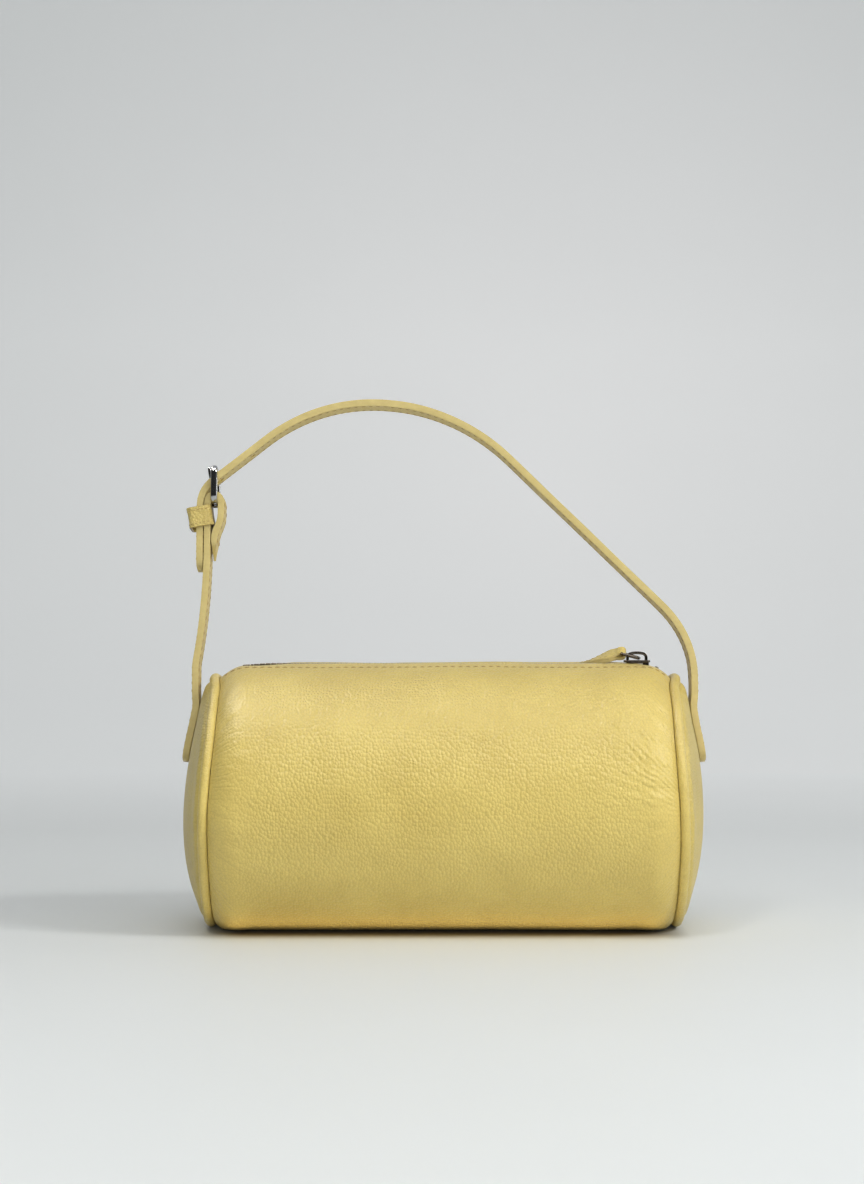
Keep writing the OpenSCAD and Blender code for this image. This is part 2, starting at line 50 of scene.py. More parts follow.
FACES = ((-1, "front"), (1, "back"))

# The barrel lies along X, its axis AXIS_H above the floor
BARREL_R = 66 * MM
AXIS_H = 63 * MM
SEAM_HALF = 110 * MM
STRAIGHT_HALF = 96 * MM
SHOULDER_R = 18 * MM
SHOULDER_TURN = math.asin(14 / 18)
PANEL_T = 1.3 * MM
GAP_HALF = 5.6 * MM
STITCH_PITCH = 3.7 * MM
STITCH_RIM = 9.35 * MM
ZIP_STITCH_Y = 14.8 * MM

# Each end is a ring of piping round a shallow dome
PIPING_R = 2.4 * MM
RING_R = 58.47 * MM
RING_X = 112.5 * MM
DOME_R = 141.9 * MM
DOME_C = -13.92 * MM
DOME_RIM = 58.2 * MM
DOME_EDGE = 54.2 * MM
DOME_ROLL = 5 * MM
DOME_T = 1.2 * MM

# How far the filled ends lean out, in mm: low down, high up, and the heights between which it turns
DOME_LEAN = {-1: (2.2, -1.8, 16, 92), 1: (0, -2.5, 14, 84)}
SEAM_LEAN = {-1: (1.4, -1.9, 50, 112), 1: (0, -2.4, 42, 100)}

# Zip: chain, slider and the link and tab that hang on it
CHAIN_Z = 127.7 * MM
CHAIN_ARC_R = 16.7 * MM
TOOTH_PITCH = 2.8 * MM
FIRST_TOOTH_X = -94.38 * MM
TOOTH_COUNT = 67
TOP_STOP_X = 103.7 * MM
BOTTOM_STOP_X = -97.28 * MM
SLIDER_X = 94 * MM
BRIDGE_Z = 130.35 * MM
BRIDGE_LENGTH = 9.1 * MM
LINK_PLACE = (95.04 * MM, 0, 131.3 * MM)
LINK_LENGTH = 8.8 * MM
PULL_YAW, PULL_RISE, PULL_DROOP = 12 * RAD, 15 * RAD, 7 * RAD
TAB_LENGTH = 24 * MM
TAB_HALF = 5.5 * MM
TAB_LOOP_R = 1.5 * MM

# Straps: they bend at PIVOT_H, and the handle leans back a little
STRAP_W = 15 * MM
STRAP_T = 3.2 * MM
STITCH_Y = 5.5 * MM
STITCH_END = 6 * MM
PIVOT_H = 117.5 * MM
STRAP_X = 121.87 * MM
TAIL_X = -120.37 * MM
TAIL_LOW = 80.4 * MM
HEEL_X = -113.31 * MM
HEEL_S = 91 * MM
LEAN = 6 * RAD
KEEPER_LOW_X, KEEPER_HIGH_X = -125.0 * MM, -114.3 * MM
KEEPER_S = 77.9 * MM
KEEPER_H = 10.2 * MM


def smooth(a, b, x):
    t = min(1, max(0, (x - a) / (b - a)))
    return t * t * (3 - 2 * t)


def mix(a, b, t):
    return a + (b - a) * t


def settle(place):
    """Leans the filled ends in at the top and out below, and down onto the floor at the bottom."""
    side = 1 if place.x > 0 else -1
    x, y, z = abs(place.x) / MM, abs(place.y) / MM, place.z / MM
    rim = smooth(44, 56, math.hypot(y, z - AXIS_H / MM))
    dome, seam = (mix(bottom, top, smooth(low, high, z))
                  for bottom, top, low, high in (DOME_LEAN[side], SEAM_LEAN[side]))
    dome *= smooth(122, 96, z)
    if z > AXIS_H / MM:
        seam *= smooth(4, 26, y) * smooth(130, 121, z)
    out = mix(dome, seam, rim) * smooth(66, 102, x)
    drop = 2.0 * smooth(90, 108, x) * smooth(28, 8, z) * rim
    return Vector((place.x + side * out * MM, place.y, max(0.02 * MM, place.z - drop * MM)))


# Camera and light

def add_camera():
    """Level with the air between the barrel and the handle."""
    place = (-6.37 * MM, -1240 * MM, 163.7 * MM)
    bpy.ops.object.camera_add(location=place, rotation=(90 * RAD, 0, 0))
    camera = bpy.context.object
    camera.data.sensor_width = 36
    camera.data.lens = 76.9
    bpy.context.scene.camera = camera


def add_area_light(name, place, target, size, watts, colour, mirrored, lighting):
    bpy.ops.object.light_add(type="AREA", location=place)
    lamp = bpy.context.object
    lamp.name = name
    lamp.data.shape = "RECTANGLE"
    lamp.data.size = size[0]
    lamp.data.size_y = size[1]
    lamp.data.energy = watts
    lamp.data.color = colour
    lamp.visible_camera = False
    lamp.visible_glossy = mirrored
    lamp.visible_diffuse = lighting
    aim = Vector(target) - Vector(place)
    lamp.rotation_euler = aim.to_track_quat("-Z", "Y").to_euler()


def add_world():
    """Pale air behind and above the bag, a dim room in front of it for the metal to mirror."""
    world = bpy.data.worlds.new("studio_air")
    world.use_nodes = True
    tree = world.node_tree
    back = tree.nodes["Background"]
    where = node(tree, "ShaderNodeTexCoord", out=0)
    across, depth, height = (axis(tree, where, i) for i in range(3))
    air = ramp(tree, depth * 0.5 + height * 0.3 + 0.35, [
        (0.0, grey(0.05)), (0.22, (0.14, 0.143, 0.146)),
        (0.4, (0.25, 0.255, 0.26)), (0.75, (0.66, 0.69, 0.72))])
    left_shade = ramp(tree, across * 0.5 + 0.5, [(0.08, (0.40, 0.36, 0.30)), (0.42, grey(1.0))])
    tree.links.new(tinted(tree, air, left_shade).socket, back.inputs["Color"])
    back.inputs["Strength"].default_value = 0.75
    bpy.context.scene.world = world
    bpy.context.scene.view_settings.view_transform = "Standard"


# Shader maths

class Sock:
    """One output socket of a material's node tree, with the arithmetic that the materials use."""

    def __init__(self, tree, socket):
        self.tree = tree
        self.socket = socket

    def _math(self, operation, other, flip=False):
        first, second = (other, self) if flip else (self, other)
        return maths(self.tree, operation, first, second)

    def __add__(self, other): return self._math("ADD", other)
    def __radd__(self, other): return self._math("ADD", other, True)
    def __sub__(self, other): return self._math("SUBTRACT", other)
    def __rsub__(self, other): return self._math("SUBTRACT", other, True)
    def __mul__(self, other): return self._math("MULTIPLY", other)
    def __rmul__(self, other): return self._math("MULTIPLY", other, True)


def node(tree, kind, settings=None, inputs=None, out=0):
    """Adds a node: its settings first, then the values or links of its sockets."""
    made = tree.nodes.new(kind)
    for key, value in (settings or {}).items():
        if key == "stops":
            stops = made.color_ramp.elements
            while len(stops) < len(value):
                stops.new(0.5)
            for stop, (place, colour) in zip(stops, value):
                stop.position = place
                stop.color = (*colour, 1)
        else:
            setattr(made, key, value)
    for key, value in (inputs or {}).items():
        if isinstance(value, Sock):
            tree.links.new(value.socket, made.inputs[key])
        elif isinstance(value, tuple) and len(value) == 3 and made.inputs[key].type == "RGBA":
            made.inputs[key].default_value = (*value, 1)
        else:
            made.inputs[key].default_value = value
    return Sock(tree, made.outputs[out])


def maths(tree, operation, *values):
    return node(tree, "ShaderNodeMath", {"operation": operation}, dict(enumerate(values)))


def absolute(tree, value):
    return maths(tree, "ABSOLUTE", value)


def axis(tree, place, i):
    return node(tree, "ShaderNodeSeparateXYZ", None, {0: place}, out=i)


def ramp(tree, value, stops):
    return node(tree, "ShaderNodeValToRGB", {"stops": stops}, {0: value})


def grey(level):
    return (level, level, level)


def blend_colour(tree, factor, a, b, how="MIX"):
    settings = {"data_type": "RGBA", "blend_type": how}
    return node(tree, "ShaderNodeMix", settings, {0: factor, 6: a, 7: b}, out=2)


def tinted(tree, a, b):
    return blend_colour(tree, 1.0, a, b, "MULTIPLY")


def new_material(name):
    material = bpy.data.materials.new(name)
    material.use_nodes = True
    tree = material.node_tree
    shader = tree.nodes["Principled BSDF"]
    return material, tree, shader


def object_place(tree, squeeze=(1, 1, 1)):
    where = node(tree, "ShaderNodeTexCoord", out=3)
    return node(tree, "ShaderNodeMapping", None, {0: where, 3: squeeze})


def noise_value(tree, place, scale, detail=3, rough=0.5):
    return node(tree, "ShaderNodeTexNoise", None,
                {"Vector": place, "Scale": scale, "Detail": detail, "Roughness": rough})


def wire_bump(tree, shader, heights):
    """Stacks Bump nodes: each entry is (height, strength, distance)."""
    normal = None
    for height, strength, distance in heights:
        inputs = {"Height": height, "Strength": strength, "Distance": distance}
        if normal:
            inputs["Normal"] = normal
        normal = node(tree, "ShaderNodeBump", None, inputs)
    tree.links.new(normal.socket, shader.inputs["Normal"])


def feed(tree, shader, name, value):
    if isinstance(value, Sock):
        tree.links.new(value.socket, shader.inputs[name])
    else:
        shader.inputs[name].default_value = value


def barrel_place(tree, place):
    """Unrolls the barrel: along it, round it and nothing else, so that the grain runs round."""
    angle = maths(tree, "ARCTAN2", axis(tree, place, 1), axis(tree, place, 2) - AXIS_H)
    return node(tree, "ShaderNodeCombineXYZ", None,
                {0: axis(tree, place, 0), 1: angle * (BARREL_R * 0.74)})


def way_round(tree, place):
    """Distance round the barrel from its top, the same in front and behind."""
    front = absolute(tree, axis(tree, place, 1))
    return maths(tree, "ARCTAN2", front, axis(tree, place, 2) - AXIS_H) * BARREL_R


def fanned(tree, distance, along, opening):
    """A distance round the barrel, drawn together the farther it is from the end seam."""
    return maths(tree, "DIVIDE", distance, (SEAM_HALF - along) * opening + 1.0)


def seam_wrinkles(tree, place):
    """Fine creases that fan out from the end seams and fade towards the middle of the barrel."""
    across = axis(tree, place, 0)
    along = absolute(tree, across)
    fan = fanned(tree, way_round(tree, place) - 0.095, along, 24.0)
    flat = node(tree, "ShaderNodeCombineXYZ", None, {0: along * 0.16, 1: fan, 2: across * 0.05})
    ridge = absolute(tree, noise_value(tree, flat, 210.0, 2.0, 0.55) - 0.5)
    fold = ramp(tree, ridge, [(0.0, grey(0.0)), (0.07, grey(0.8)), (0.2, grey(1.0))])
    near = ramp(tree, along, [(0.088, grey(0.0)), (0.105, grey(1.0))])
    return 1.0 - (1.0 - fold) * near


def shoulder_folds(tree, place):
    """Deeper folds where the right shoulder of the barrel is pulled in by its seam."""
    across, round_way = axis(tree, place, 0), way_round(tree, place)
    fan = fanned(tree, round_way - 0.110, across, 66.0)
    drift = noise_value(tree, place, 75.0, 2.0)
    wave = maths(tree, "SINE", fan * 3300.0 + drift * 9.0)
    patches = noise_value(tree, place, 55.0, 1.0)
    patchy = ramp(tree, patches, [(0.35, grey(0.25)), (0.65, grey(1.0))])
    sideways = ramp(tree, across, [(0.066, grey(0.0)), (0.09, grey(1.0)), (0.106, grey(0.7))])
    upright = ramp(tree, round_way * 5.0, [
        (0.23, grey(0.0)), (0.31, grey(1.0)), (0.5, grey(1.0)), (0.58, grey(0.0))])
    return (wave * 0.5 + 0.5) * patchy * sideways * upright


GRAIN_SCALE = 740.0


def pebbled_leather(name, base, deep, pebble=1.0, grain_depth=1.0, shine=0.46, barrel=False):
    """Full-grain leather: rounded pebbles with fine pores, a mottled dye, softly worn tops and
    painted shade in the furrows and pores.
    """
    material, tree, shader = new_material(name)
    place = object_place(tree)
    flat = barrel_place(tree, place) if barrel else place
    warp = node(tree, "ShaderNodeTexNoise", {"noise_dimensions": "3D"},
                {"Vector": place, "Scale": 260.0, "Detail": 2.0}, out=1)
    bent = node(tree, "ShaderNodeVectorMath", {"operation": "MULTIPLY_ADD"},
                {0: warp, 1: grey(0.0009), 2: flat})
    grain = {"Vector": bent, "Scale": GRAIN_SCALE / pebble, "Randomness": 0.85}
    cells = node(tree, "ShaderNodeTexVoronoi", {"feature": "SMOOTH_F1"},
                 {**grain, "Smoothness": 0.35})
    furrow = node(tree, "ShaderNodeTexVoronoi", {"feature": "DISTANCE_TO_EDGE"}, grain)
    furrow_line = ramp(tree, furrow, [(0.0, grey(0.0)), (0.16, grey(1.0))])
    pores = noise_value(tree, place, 2600.0, 2.0)
    mottle = noise_value(tree, place, 38.0, 4.0, 0.6)
    patch = noise_value(tree, place, 9.0, 2.0)
    dye = ramp(tree, mottle, [(0.3, deep), (0.72, base)])
    worn = blend_colour(tree, ramp(tree, patch, [(0.35, grey(0.0)), (0.75, grey(0.22))]), dye,
                        tuple(min(1, c * 1.08 + 0.02) for c in base))
    # Painted shade: the colour darkens in the furrows between the pebbles and in the pores
    shade = ramp(tree, furrow_line * 0.6 + pores * 0.4, [(0.1, grey(0.80)), (0.55, grey(1.0))])
    feed(tree, shader, "Base Color", tinted(tree, worn, shade))
    feed(tree, shader, "Roughness", mottle * 0.12 + pores * 0.06 + (shine - 0.1))
    shader.inputs["Sheen Weight"].default_value = 0.04
    pulled, calm = [], 1.0
    if barrel:
        half = absolute(tree, axis(tree, place, 0))
        calm = ramp(tree, half, [(0.084, grey(1.0)), (0.103, grey(0.35))])
        pulled = [(seam_wrinkles(tree, place), 0.3, 0.001),
                  (shoulder_folds(tree, place), 0.45, 0.0008)]
    wire_bump(tree, shader, pulled + [
        (noise_value(tree, place, 190.0, 3.0), 0.10 * grain_depth, 0.0012),
        ((cells * -1.0 + 1.0) * calm, 0.68 * grain_depth, 0.0008),
        (furrow_line * calm, 0.22 * grain_depth, 0.0002),
        (pores, 0.14 * grain_depth, 0.0002),
    ])
    return material


def painted_edge(name, base, deep):
    """Cut edge of a strap: burnished and painted, almost smooth, with faint layers along it."""
    material, tree, shader = new_material(name)
    layers = noise_value(tree, object_place(tree, (60, 900, 60)), 5.0, 3.0)
    blotch = noise_value(tree, object_place(tree), 120.0, 3.0)
    dye = ramp(tree, layers * 0.5 + blotch * 0.5, [(0.3, deep), (0.7, base)])
    feed(tree, shader, "Base Color", dye)
    feed(tree, shader, "Roughness", blotch * 0.15 + 0.32)
    wire_bump(tree, shader, [(layers, 0.2, 0.0003), (blotch, 0.15, 0.0004)])
    return material


def thread_material(name, base, deep):
    """Waxed thread with its twist."""
    material, tree, shader = new_material(name)
    twist = node(tree, "ShaderNodeTexWave", {"bands_direction": "DIAGONAL"},
                 {"Vector": object_place(tree), "Scale": 900.0, "Distortion": 0.6})
    feed(tree, shader, "Base Color", ramp(tree, twist, [(0.2, deep), (0.8, base)]))
    feed(tree, shader, "Roughness", 0.5)
    shader.inputs["Sheen Weight"].default_value = 0.25
    wire_bump(tree, shader, [(twist, 0.5, 0.0002)])
    return material


def woven(name, base, deep, scale, rough=0.8):
    """Plain weave in two directions, as on zip tape, lining and stiffener cloth."""
    material, tree, shader = new_material(name)
    place = object_place(tree)
    warp, weft = (node(tree, "ShaderNodeTexWave", {"bands_direction": way},
                       {"Vector": place, "Scale": scale}) for way in ("X", "Y"))
    fuzz = noise_value(tree, place, scale * 4, 2.0)
    height = warp * weft + fuzz * 0.3
    feed(tree, shader, "Base Color", ramp(tree, height, [(0.1, deep), (0.8, base)]))
    feed(tree, shader, "Roughness", fuzz * 0.1 + (rough - 0.05))
    shader.inputs["Sheen Weight"].default_value = 0.3
    wire_bump(tree, shader, [(height, 0.5, 0.0003)])
    return material


def board_material(name, base, deep):
    """Pressed fibre board."""
    material, tree, shader = new_material(name)
    fibres = noise_value(tree, object_place(tree, (20, 200, 200)), 8.0, 5.0)
    feed(tree, shader, "Base Color", ramp(tree, fibres, [(0.3, deep), (0.7, base)]))
    feed(tree, shader, "Roughness", fibres * 0.1 + 0.75)
    wire_bump(tree, shader, [(fibres, 0.2, 0.0005)])
    return material


def polished_metal(name, base, rough, scratch=0.3):
    """Plated metal: mirror bright with hairline scratches and a little hazing."""
    material, tree, shader = new_material(name)
    lines = noise_value(tree, object_place(tree, (900, 60, 60)), 6.0, 4.0)
    haze = noise_value(tree, object_place(tree), 300.0, 3.0)
    dull = tuple(c * 0.86 for c in base)
    feed(tree, shader, "Base Color", ramp(tree, haze, [(0.3, dull), (0.7, base)]))
    feed(tree, shader, "Roughness", haze * 0.12 + lines * 0.06 + rough)
    shader.inputs["Metallic"].default_value = 1
    wire_bump(tree, shader, [(lines, scratch * 0.12, 0.0002), (haze, 0.05, 0.0005)])
    return material


def soft_rectangle(tree, place, half, soft):
    """1 inside a flat rectangle round the origin, fading to 0 over a soft border."""
    def inside(i):
        distance = absolute(tree, axis(tree, place, i))
        return ramp(tree, distance, [(half[i] - soft, grey(1.0)), (half[i] + soft, grey(0.0))])

    return inside(0) * inside(1)


def floor_material(name):
    """Pale paper with a painted glow towards the backdrop and a painted shadow right under the bag.
    """
    material, tree, shader = new_material(name)
    place = object_place(tree)
    cloud = noise_value(tree, place, 3.0, 3.0)
    paper = ramp(tree, cloud, [(0.3, (0.695, 0.722, 0.725)), (0.7, (0.715, 0.742, 0.745))])
    # Painted shadow: the paper's colour turns dark in a soft rectangle right under the bag
    under = soft_rectangle(tree, place, (0.108, 0.039), 0.009)
    feed(tree, shader, "Base Color", blend_colour(tree, under, paper, (0.16, 0.14, 0.115)))
    feed(tree, shader, "Roughness", 0.6)
    # Painted light: the paper glows behind the bag, brightest in a round pool, as if a lamp fell on
    # it
    painted_light_pool_place = node(tree, "ShaderNodeMapping", None,
                      {0: place, 1: (-0.15, 0, -0.23), 3: (0.91, 0, 0.77)})
    painted_light_pool = node(tree, "ShaderNodeTexGradient", {"gradient_type": "SPHERICAL"},
                {0: painted_light_pool_place}, out=1)
    fade = ramp(tree, axis(tree, place, 1) * 0.4, [
        (0.04, grey(0.0)), (0.2, grey(0.15)), (0.42, grey(0.6)), (1.0, grey(1.03))])
    backdrop = ramp(tree, painted_light_pool, [(0.0, (0.31, 0.318, 0.318)), (1.0, (0.435, 0.43, 0.43))])
    feed(tree, shader, "Emission Color", tinted(tree, fade, backdrop))
    shader.inputs["Emission Strength"].default_value = 1
    return material


YELLOW = (0.67, 0.525, 0.15)
YELLOW_DEEP = (0.59, 0.45, 0.12)
body_leather = pebbled_leather("body_leather", YELLOW, YELLOW_DEEP, 1.0, 1.0, 0.385, True)
# The ends take a darker, less blue copy of the body leather: painted shade on both domes
end_leather_painted_shade = pebbled_leather("end_leather_painted_shade", (0.63, 0.49, 0.125), (0.55, 0.42, 0.10),
                              1.0, 0.8, 0.41)
strap_leather = pebbled_leather("strap_leather", YELLOW, YELLOW_DEEP, 0.85, 0.8, 0.44)
keeper_leather = pebbled_leather("keeper_leather", (0.63, 0.50, 0.155), (0.43, 0.32, 0.09),
                                 0.85, 1.0, 0.42)
piping_leather = pebbled_leather("piping_leather", YELLOW, YELLOW_DEEP, 0.8, 0.6, 0.37)
strap_edge = painted_edge("strap_edge", (0.58, 0.475, 0.195), (0.48, 0.38, 0.145))
# Real burnish on the rounded borders of each cut edge, made darker still as painted shade where the
# edge turns under
strap_burnish_painted_shade = painted_edge("strap_burnish_painted_shade", (0.31, 0.22, 0.072), (0.20, 0.14, 0.045))
# Darker than the thread's own ochre: painted shade, as if every stitch lay in the shade of its
# groove
thread = thread_material("thread", (0.44, 0.29, 0.08), (0.26, 0.165, 0.045))
tab_thread = thread_material("tab_thread", (0.58, 0.45, 0.14), (0.44, 0.33, 0.10))
tape_cloth = woven("tape_cloth", (0.50, 0.38, 0.14), (0.33, 0.24, 0.08), 500.0)
lining_cloth = woven("lining_cloth", (0.45, 0.36, 0.22), (0.32, 0.25, 0.15), 420.0)
stiffener_felt = woven("stiffener_felt", grey(0.14), grey(0.08), 300.0, 0.95)
cord_cotton = woven("cord_cotton", (0.72, 0.68, 0.58), (0.5, 0.46, 0.38), 350.0, 0.9)
base_card = board_material("base_card", (0.45, 0.33, 0.2), (0.28, 0.19, 0.11))
buckle_metal = polished_metal("buckle_metal", grey(0.52), 0.03, 0.15)
zip_metal = polished_metal("zip_metal", (0.16, 0.135, 0.11), 0.08)
teeth_metal = polished_metal("teeth_metal", (0.40, 0.35, 0.29), 0.22)


# Mesh helpers

def deselect():
    if bpy.context.object and bpy.context.object.mode != "OBJECT":
        bpy.ops.object.mode_set(mode="OBJECT")
    bpy.ops.object.select_all(action="DESELECT")


def make_active(piece):
    deselect()
    piece.select_set(True)
    bpy.context.view_layer.objects.active = piece


def apply_modifiers(piece):
    make_active(piece)
    for modifier in list(piece.modifiers):
        bpy.ops.object.modifier_apply(modifier=modifier.name)


def apply_place(piece):
    make_active(piece)
    bpy.ops.object.transform_apply(location=True, rotation=True, scale=True)


def weld(piece, threshold=1e-6, outwards=True):
    """Joins the points that share a place, and turns the faces outwards."""
    make_active(piece)
    bpy.ops.object.mode_set(mode="EDIT")
    bpy.ops.mesh.select_all(action="SELECT")
    bpy.ops.mesh.remove_doubles(threshold=threshold)
    if outwards:
        bpy.ops.mesh.normals_make_consistent(inside=False)
    bpy.ops.object.mode_set(mode="OBJECT")


def shade(piece, angle=50):
    make_active(piece)
    bpy.ops.object.shade_smooth_by_angle(angle=angle * RAD)


def round_edges(piece, width, segments, angle=None, slot=-1):
    edge = piece.modifiers.new("edge", "BEVEL")
    edge.width = width
    edge.segments = segments
    edge.material = slot
    if angle:
        edge.limit_method = "ANGLE"
        edge.angle_limit = angle * RAD


def solid_wall(piece, thickness, offset=-1, rim_slot=0, rounding=0.0, segments=2, edge_slot=-1,
               angle=50):
    wall = piece.modifiers.new("wall", "SOLIDIFY")
    wall.thickness = thickness
    wall.offset = offset
    wall.material_offset_rim = rim_slot
    if rounding:
        round_edges(piece, rounding, segments, angle, edge_slot)
    apply_modifiers(piece)


def cut_out(piece, cutter):
    """Takes the cutter's shape out of a piece and removes the cutter."""
    cut = piece.modifiers.new("cut", "BOOLEAN")
    cut.object = cutter
    cut.solver = "EXACT"
    apply_modifiers(piece)
    bpy.data.objects.remove(cutter)


def curved_sheet(name, across, along, place, materials):
    """A grid whose point (u, v), each 0 to 1, goes to place(u, v)."""
    deselect()
    bpy.ops.mesh.primitive_grid_add(x_subdivisions=across, y_subdivisions=along, size=1)
    piece = bpy.context.object
    piece.name = name
    for vertex in piece.data.vertices:
        vertex.co = place(vertex.co.x + 0.5, vertex.co.y + 0.5)
    for material in materials:
        piece.data.materials.append(material)
    return piece


def turned(name, profile, steps, material, side=1):
    """Spins a profile of (distance along X, radius) points about the barrel's axis."""
    deselect()
    last = len(profile) - 1
    bpy.ops.mesh.primitive_grid_add(x_subdivisions=last, y_subdivisions=1, size=1)
    piece = bpy.context.object
    piece.name = name
    bpy.ops.object.mode_set(mode="EDIT")
    bpy.ops.mesh.select_all(action="DESELECT")
    bpy.ops.object.mode_set(mode="OBJECT")
    for vertex in piece.data.vertices:
        vertex.select = vertex.co.y > 0
        x, r = profile[round((vertex.co.x + 0.5) * last)]
        vertex.co = (side * x, 0, AXIS_H + r)
    bpy.ops.object.mode_set(mode="EDIT")
    bpy.ops.mesh.delete(type="VERT")
    bpy.ops.mesh.select_all(action="SELECT")
    bpy.ops.mesh.spin(steps=steps, angle=2 * math.pi, center=(0, 0, AXIS_H), axis=(1, 0, 0))
    weld(piece, 2e-5)
    piece.data.materials.append(material)
    return piece


def mesh_piece(name, points, faces, material):
    mesh = bpy.data.meshes.new(name)
    mesh.from_pydata(points, [], faces)
    mesh.materials.append(material)
    piece = bpy.data.objects.new(name, mesh)
    bpy.context.scene.collection.objects.link(piece)
    return piece


def merge_copies(name, pattern, places, material):
    """One mesh of copies of a pattern piece, one at each matrix; the pattern is removed."""
    points = [v.co.copy() for v in pattern.data.vertices]
    faces = [tuple(p.vertices) for p in pattern.data.polygons]
    all_points, all_faces = [], []
    for matrix in places:
        start = len(all_points)
        all_points += [matrix @ p for p in points]
        all_faces += [tuple(start + i for i in f) for f in faces]
    piece = mesh_piece(name, all_points, all_faces, material)
    bpy.data.objects.remove(pattern)
    shade(piece, 60)
    return piece


def finish_piece(piece, body, nodes=()):
    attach(piece, body)
    if nodes:
        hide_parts(*nodes)


def stitch_pattern(length=2.6 * MM, thick=0.36 * MM):
    deselect()
    bpy.ops.mesh.primitive_uv_sphere_add(segments=8, ring_count=6, radius=1)
    pattern = bpy.context.object
    for vertex in pattern.data.vertices:
        x, y, z = vertex.co
        vertex.co = (x * length / 2, y * thick, z * thick * (1.1 - 0.4 * abs(x)))
    return pattern


def stitch_matrix(place, along, up):
    """Lays a stitch at a place, its length along one direction and its top up another."""
    x = Vector(along).normalized()
    z = (Vector(up) - Vector(up).dot(x) * x).normalized()
    turn = Matrix((x, z.cross(x), z)).transposed().to_4x4()
    return Matrix.Translation(place) @ turn


# Body: one leather panel that wraps the barrel from zip edge to zip edge

def crease(x, a, centre, angle, length, width, depth):
    """Depth of one crease in the plane of the unrolled panel, in metres along and round."""
    dx, da = x - centre[0], a - centre[1]
    along = dx * math.cos(angle) + da * math.sin(angle)
    across = -dx * math.sin(angle) + da * math.cos(angle)
    fade = smooth(length, length * 0.25, abs(along))
    bent = across - 0.06 * length * math.sin(along / length * 2.1)
    return -depth * fade * math.exp(-((bent / width) ** 2))


def panel_creases():
    """Creases: place along and round, direction, length, width and depth. Tables are in mm."""
    random.seed(7)
    listed = []
    for end, height, tilt, length, depth in [
            (1, 62, 28, 16, 0.55), (1, 72, 18, 19, 0.5), (1, 84, 8, 15, 0.45),
            (1, 95, -4, 20, 0.55), (1, 104, -12, 13, 0.4), (1, 113, -20, 11, 0.32),
            (1, 50, 40, 12, 0.4), (1, 128, -25, 9, 0.25), (-1, 58, -35, 14, 0.35),
            (-1, 76, -14, 12, 0.3), (-1, 120, 14, 14, 0.35), (-1, 133, 24, 12, 0.35),
            (-1, 100, 5, 10, 0.22)]:
        listed.append(((end * 100 * MM, height * MM), tilt * RAD, length * MM,
                       (1.0 + 0.8 * random.random()) * MM, 1.5 * depth * MM))
    for _ in range(30):
        end = random.choice((-1, 1))
        listed.append(((end * (106 - 14 * random.random()) * MM, random.uniform(15, 390) * MM),
                       random.uniform(-0.6, 0.6), random.uniform(6, 15) * MM,
                       random.uniform(0.8, 1.7) * MM, random.uniform(0.15, 0.40) * MM))
    for x, height, tilt, length, depth in [
            (88, 139, -30, 7, 0.18), (93, 133, -20, 8, 0.2), (84, 145, 25, 6, 0.15)]:
        listed.append(((x * MM, height * MM), tilt * RAD, length * MM, 0.9 * MM, depth * MM))
    return listed


CREASES = panel_creases()


def panel_relief(x, angle):
    """How far the leather stands off the true barrel: soft waves and creases."""
    round_way = angle * BARREL_R
    lift = 0.55 * MM * noise.noise(Vector((x * 22, round_way * 16, 3.1)))
    lift += 0.22 * MM * noise.noise(Vector((x * 60, round_way * 48, 8.4)))
    near_seam = smooth(STRAIGHT_HALF - 22 * MM, SEAM_HALF, abs(x))
    lift += near_seam * 0.5 * MM * noise.noise(Vector((x * 30, round_way * 75, 1.7)))
    for centre, tilt, length, width, depth in CREASES:
        if abs(x - centre[0]) < length * 1.1 and abs(round_way - centre[1]) < length * 1.1:
            lift += crease(x, round_way, centre, tilt, length, width, depth)
    return min(lift, 0.5 * MM)


def panel_point(x, angle):
    """A point of the panel: x along the barrel, angle from the top towards the front."""
    turn = min(max(0, abs(x) - STRAIGHT_HALF) / SHOULDER_R, SHOULDER_TURN * 1.06)
    reach = min(min(abs(x), STRAIGHT_HALF) + SHOULDER_R * math.sin(turn), SEAM_HALF)
    fade = smooth(0, 5 * MM, SEAM_HALF - reach)
    relief = panel_relief(x, angle if angle > 0 else 2 * math.pi + angle) * (0.15 + 0.85 * fade)
    r = BARREL_R - SHOULDER_R * (1 - math.cos(turn)) + relief
    point = settle(Vector((math.copysign(reach, x), -r * math.sin(angle),
                           AXIS_H + r * math.cos(angle))))
    soft = 2.2 * MM
    if point.z < soft:
        point.z = soft * math.exp((point.z - soft) / soft)
    return point


def make_body_panel():
    edge_angle = math.asin(GAP_HALF / BARREL_R)
    fold = 0.9 * MM
    arc_end = STRAIGHT_HALF + SHOULDER_R * SHOULDER_TURN

    def place(u, v):
        x = arc_end * (1 - 2 * u)
        t = mix(0.5 - 0.5 * math.cos(math.pi * v), v, 0.75)
        angle = edge_angle + (2 * math.pi - 2 * edge_angle) * t
        rim = min(angle - edge_angle, 2 * math.pi - edge_angle - angle) * BARREL_R
        groove = 0.22 * MM * math.exp(-(((rim - STITCH_RIM) / (0.7 * MM)) ** 2))
        roll = fold * (1 - math.sqrt(max(0, 1 - (max(0, fold - rim) / fold) ** 2)))
        ends = smooth(-72 * MM, -92 * MM, x) + 0.8 * smooth(84 * MM, 98 * MM, x)
        dip = mix(-0.35, 0.75, ends) * MM * smooth(9 * MM, 1 * MM, rim)
        inwards = Vector((0, math.sin(angle), -math.cos(angle)))
        return panel_point(x, angle) + inwards * (groove + roll + dip)

    panel = curved_sheet("body_panel", 196, 214, place, [body_leather])
    solid_wall(panel, PANEL_T)
    shade(panel, 60)
    finish_piece(panel, "root", ["barrel_panel"])


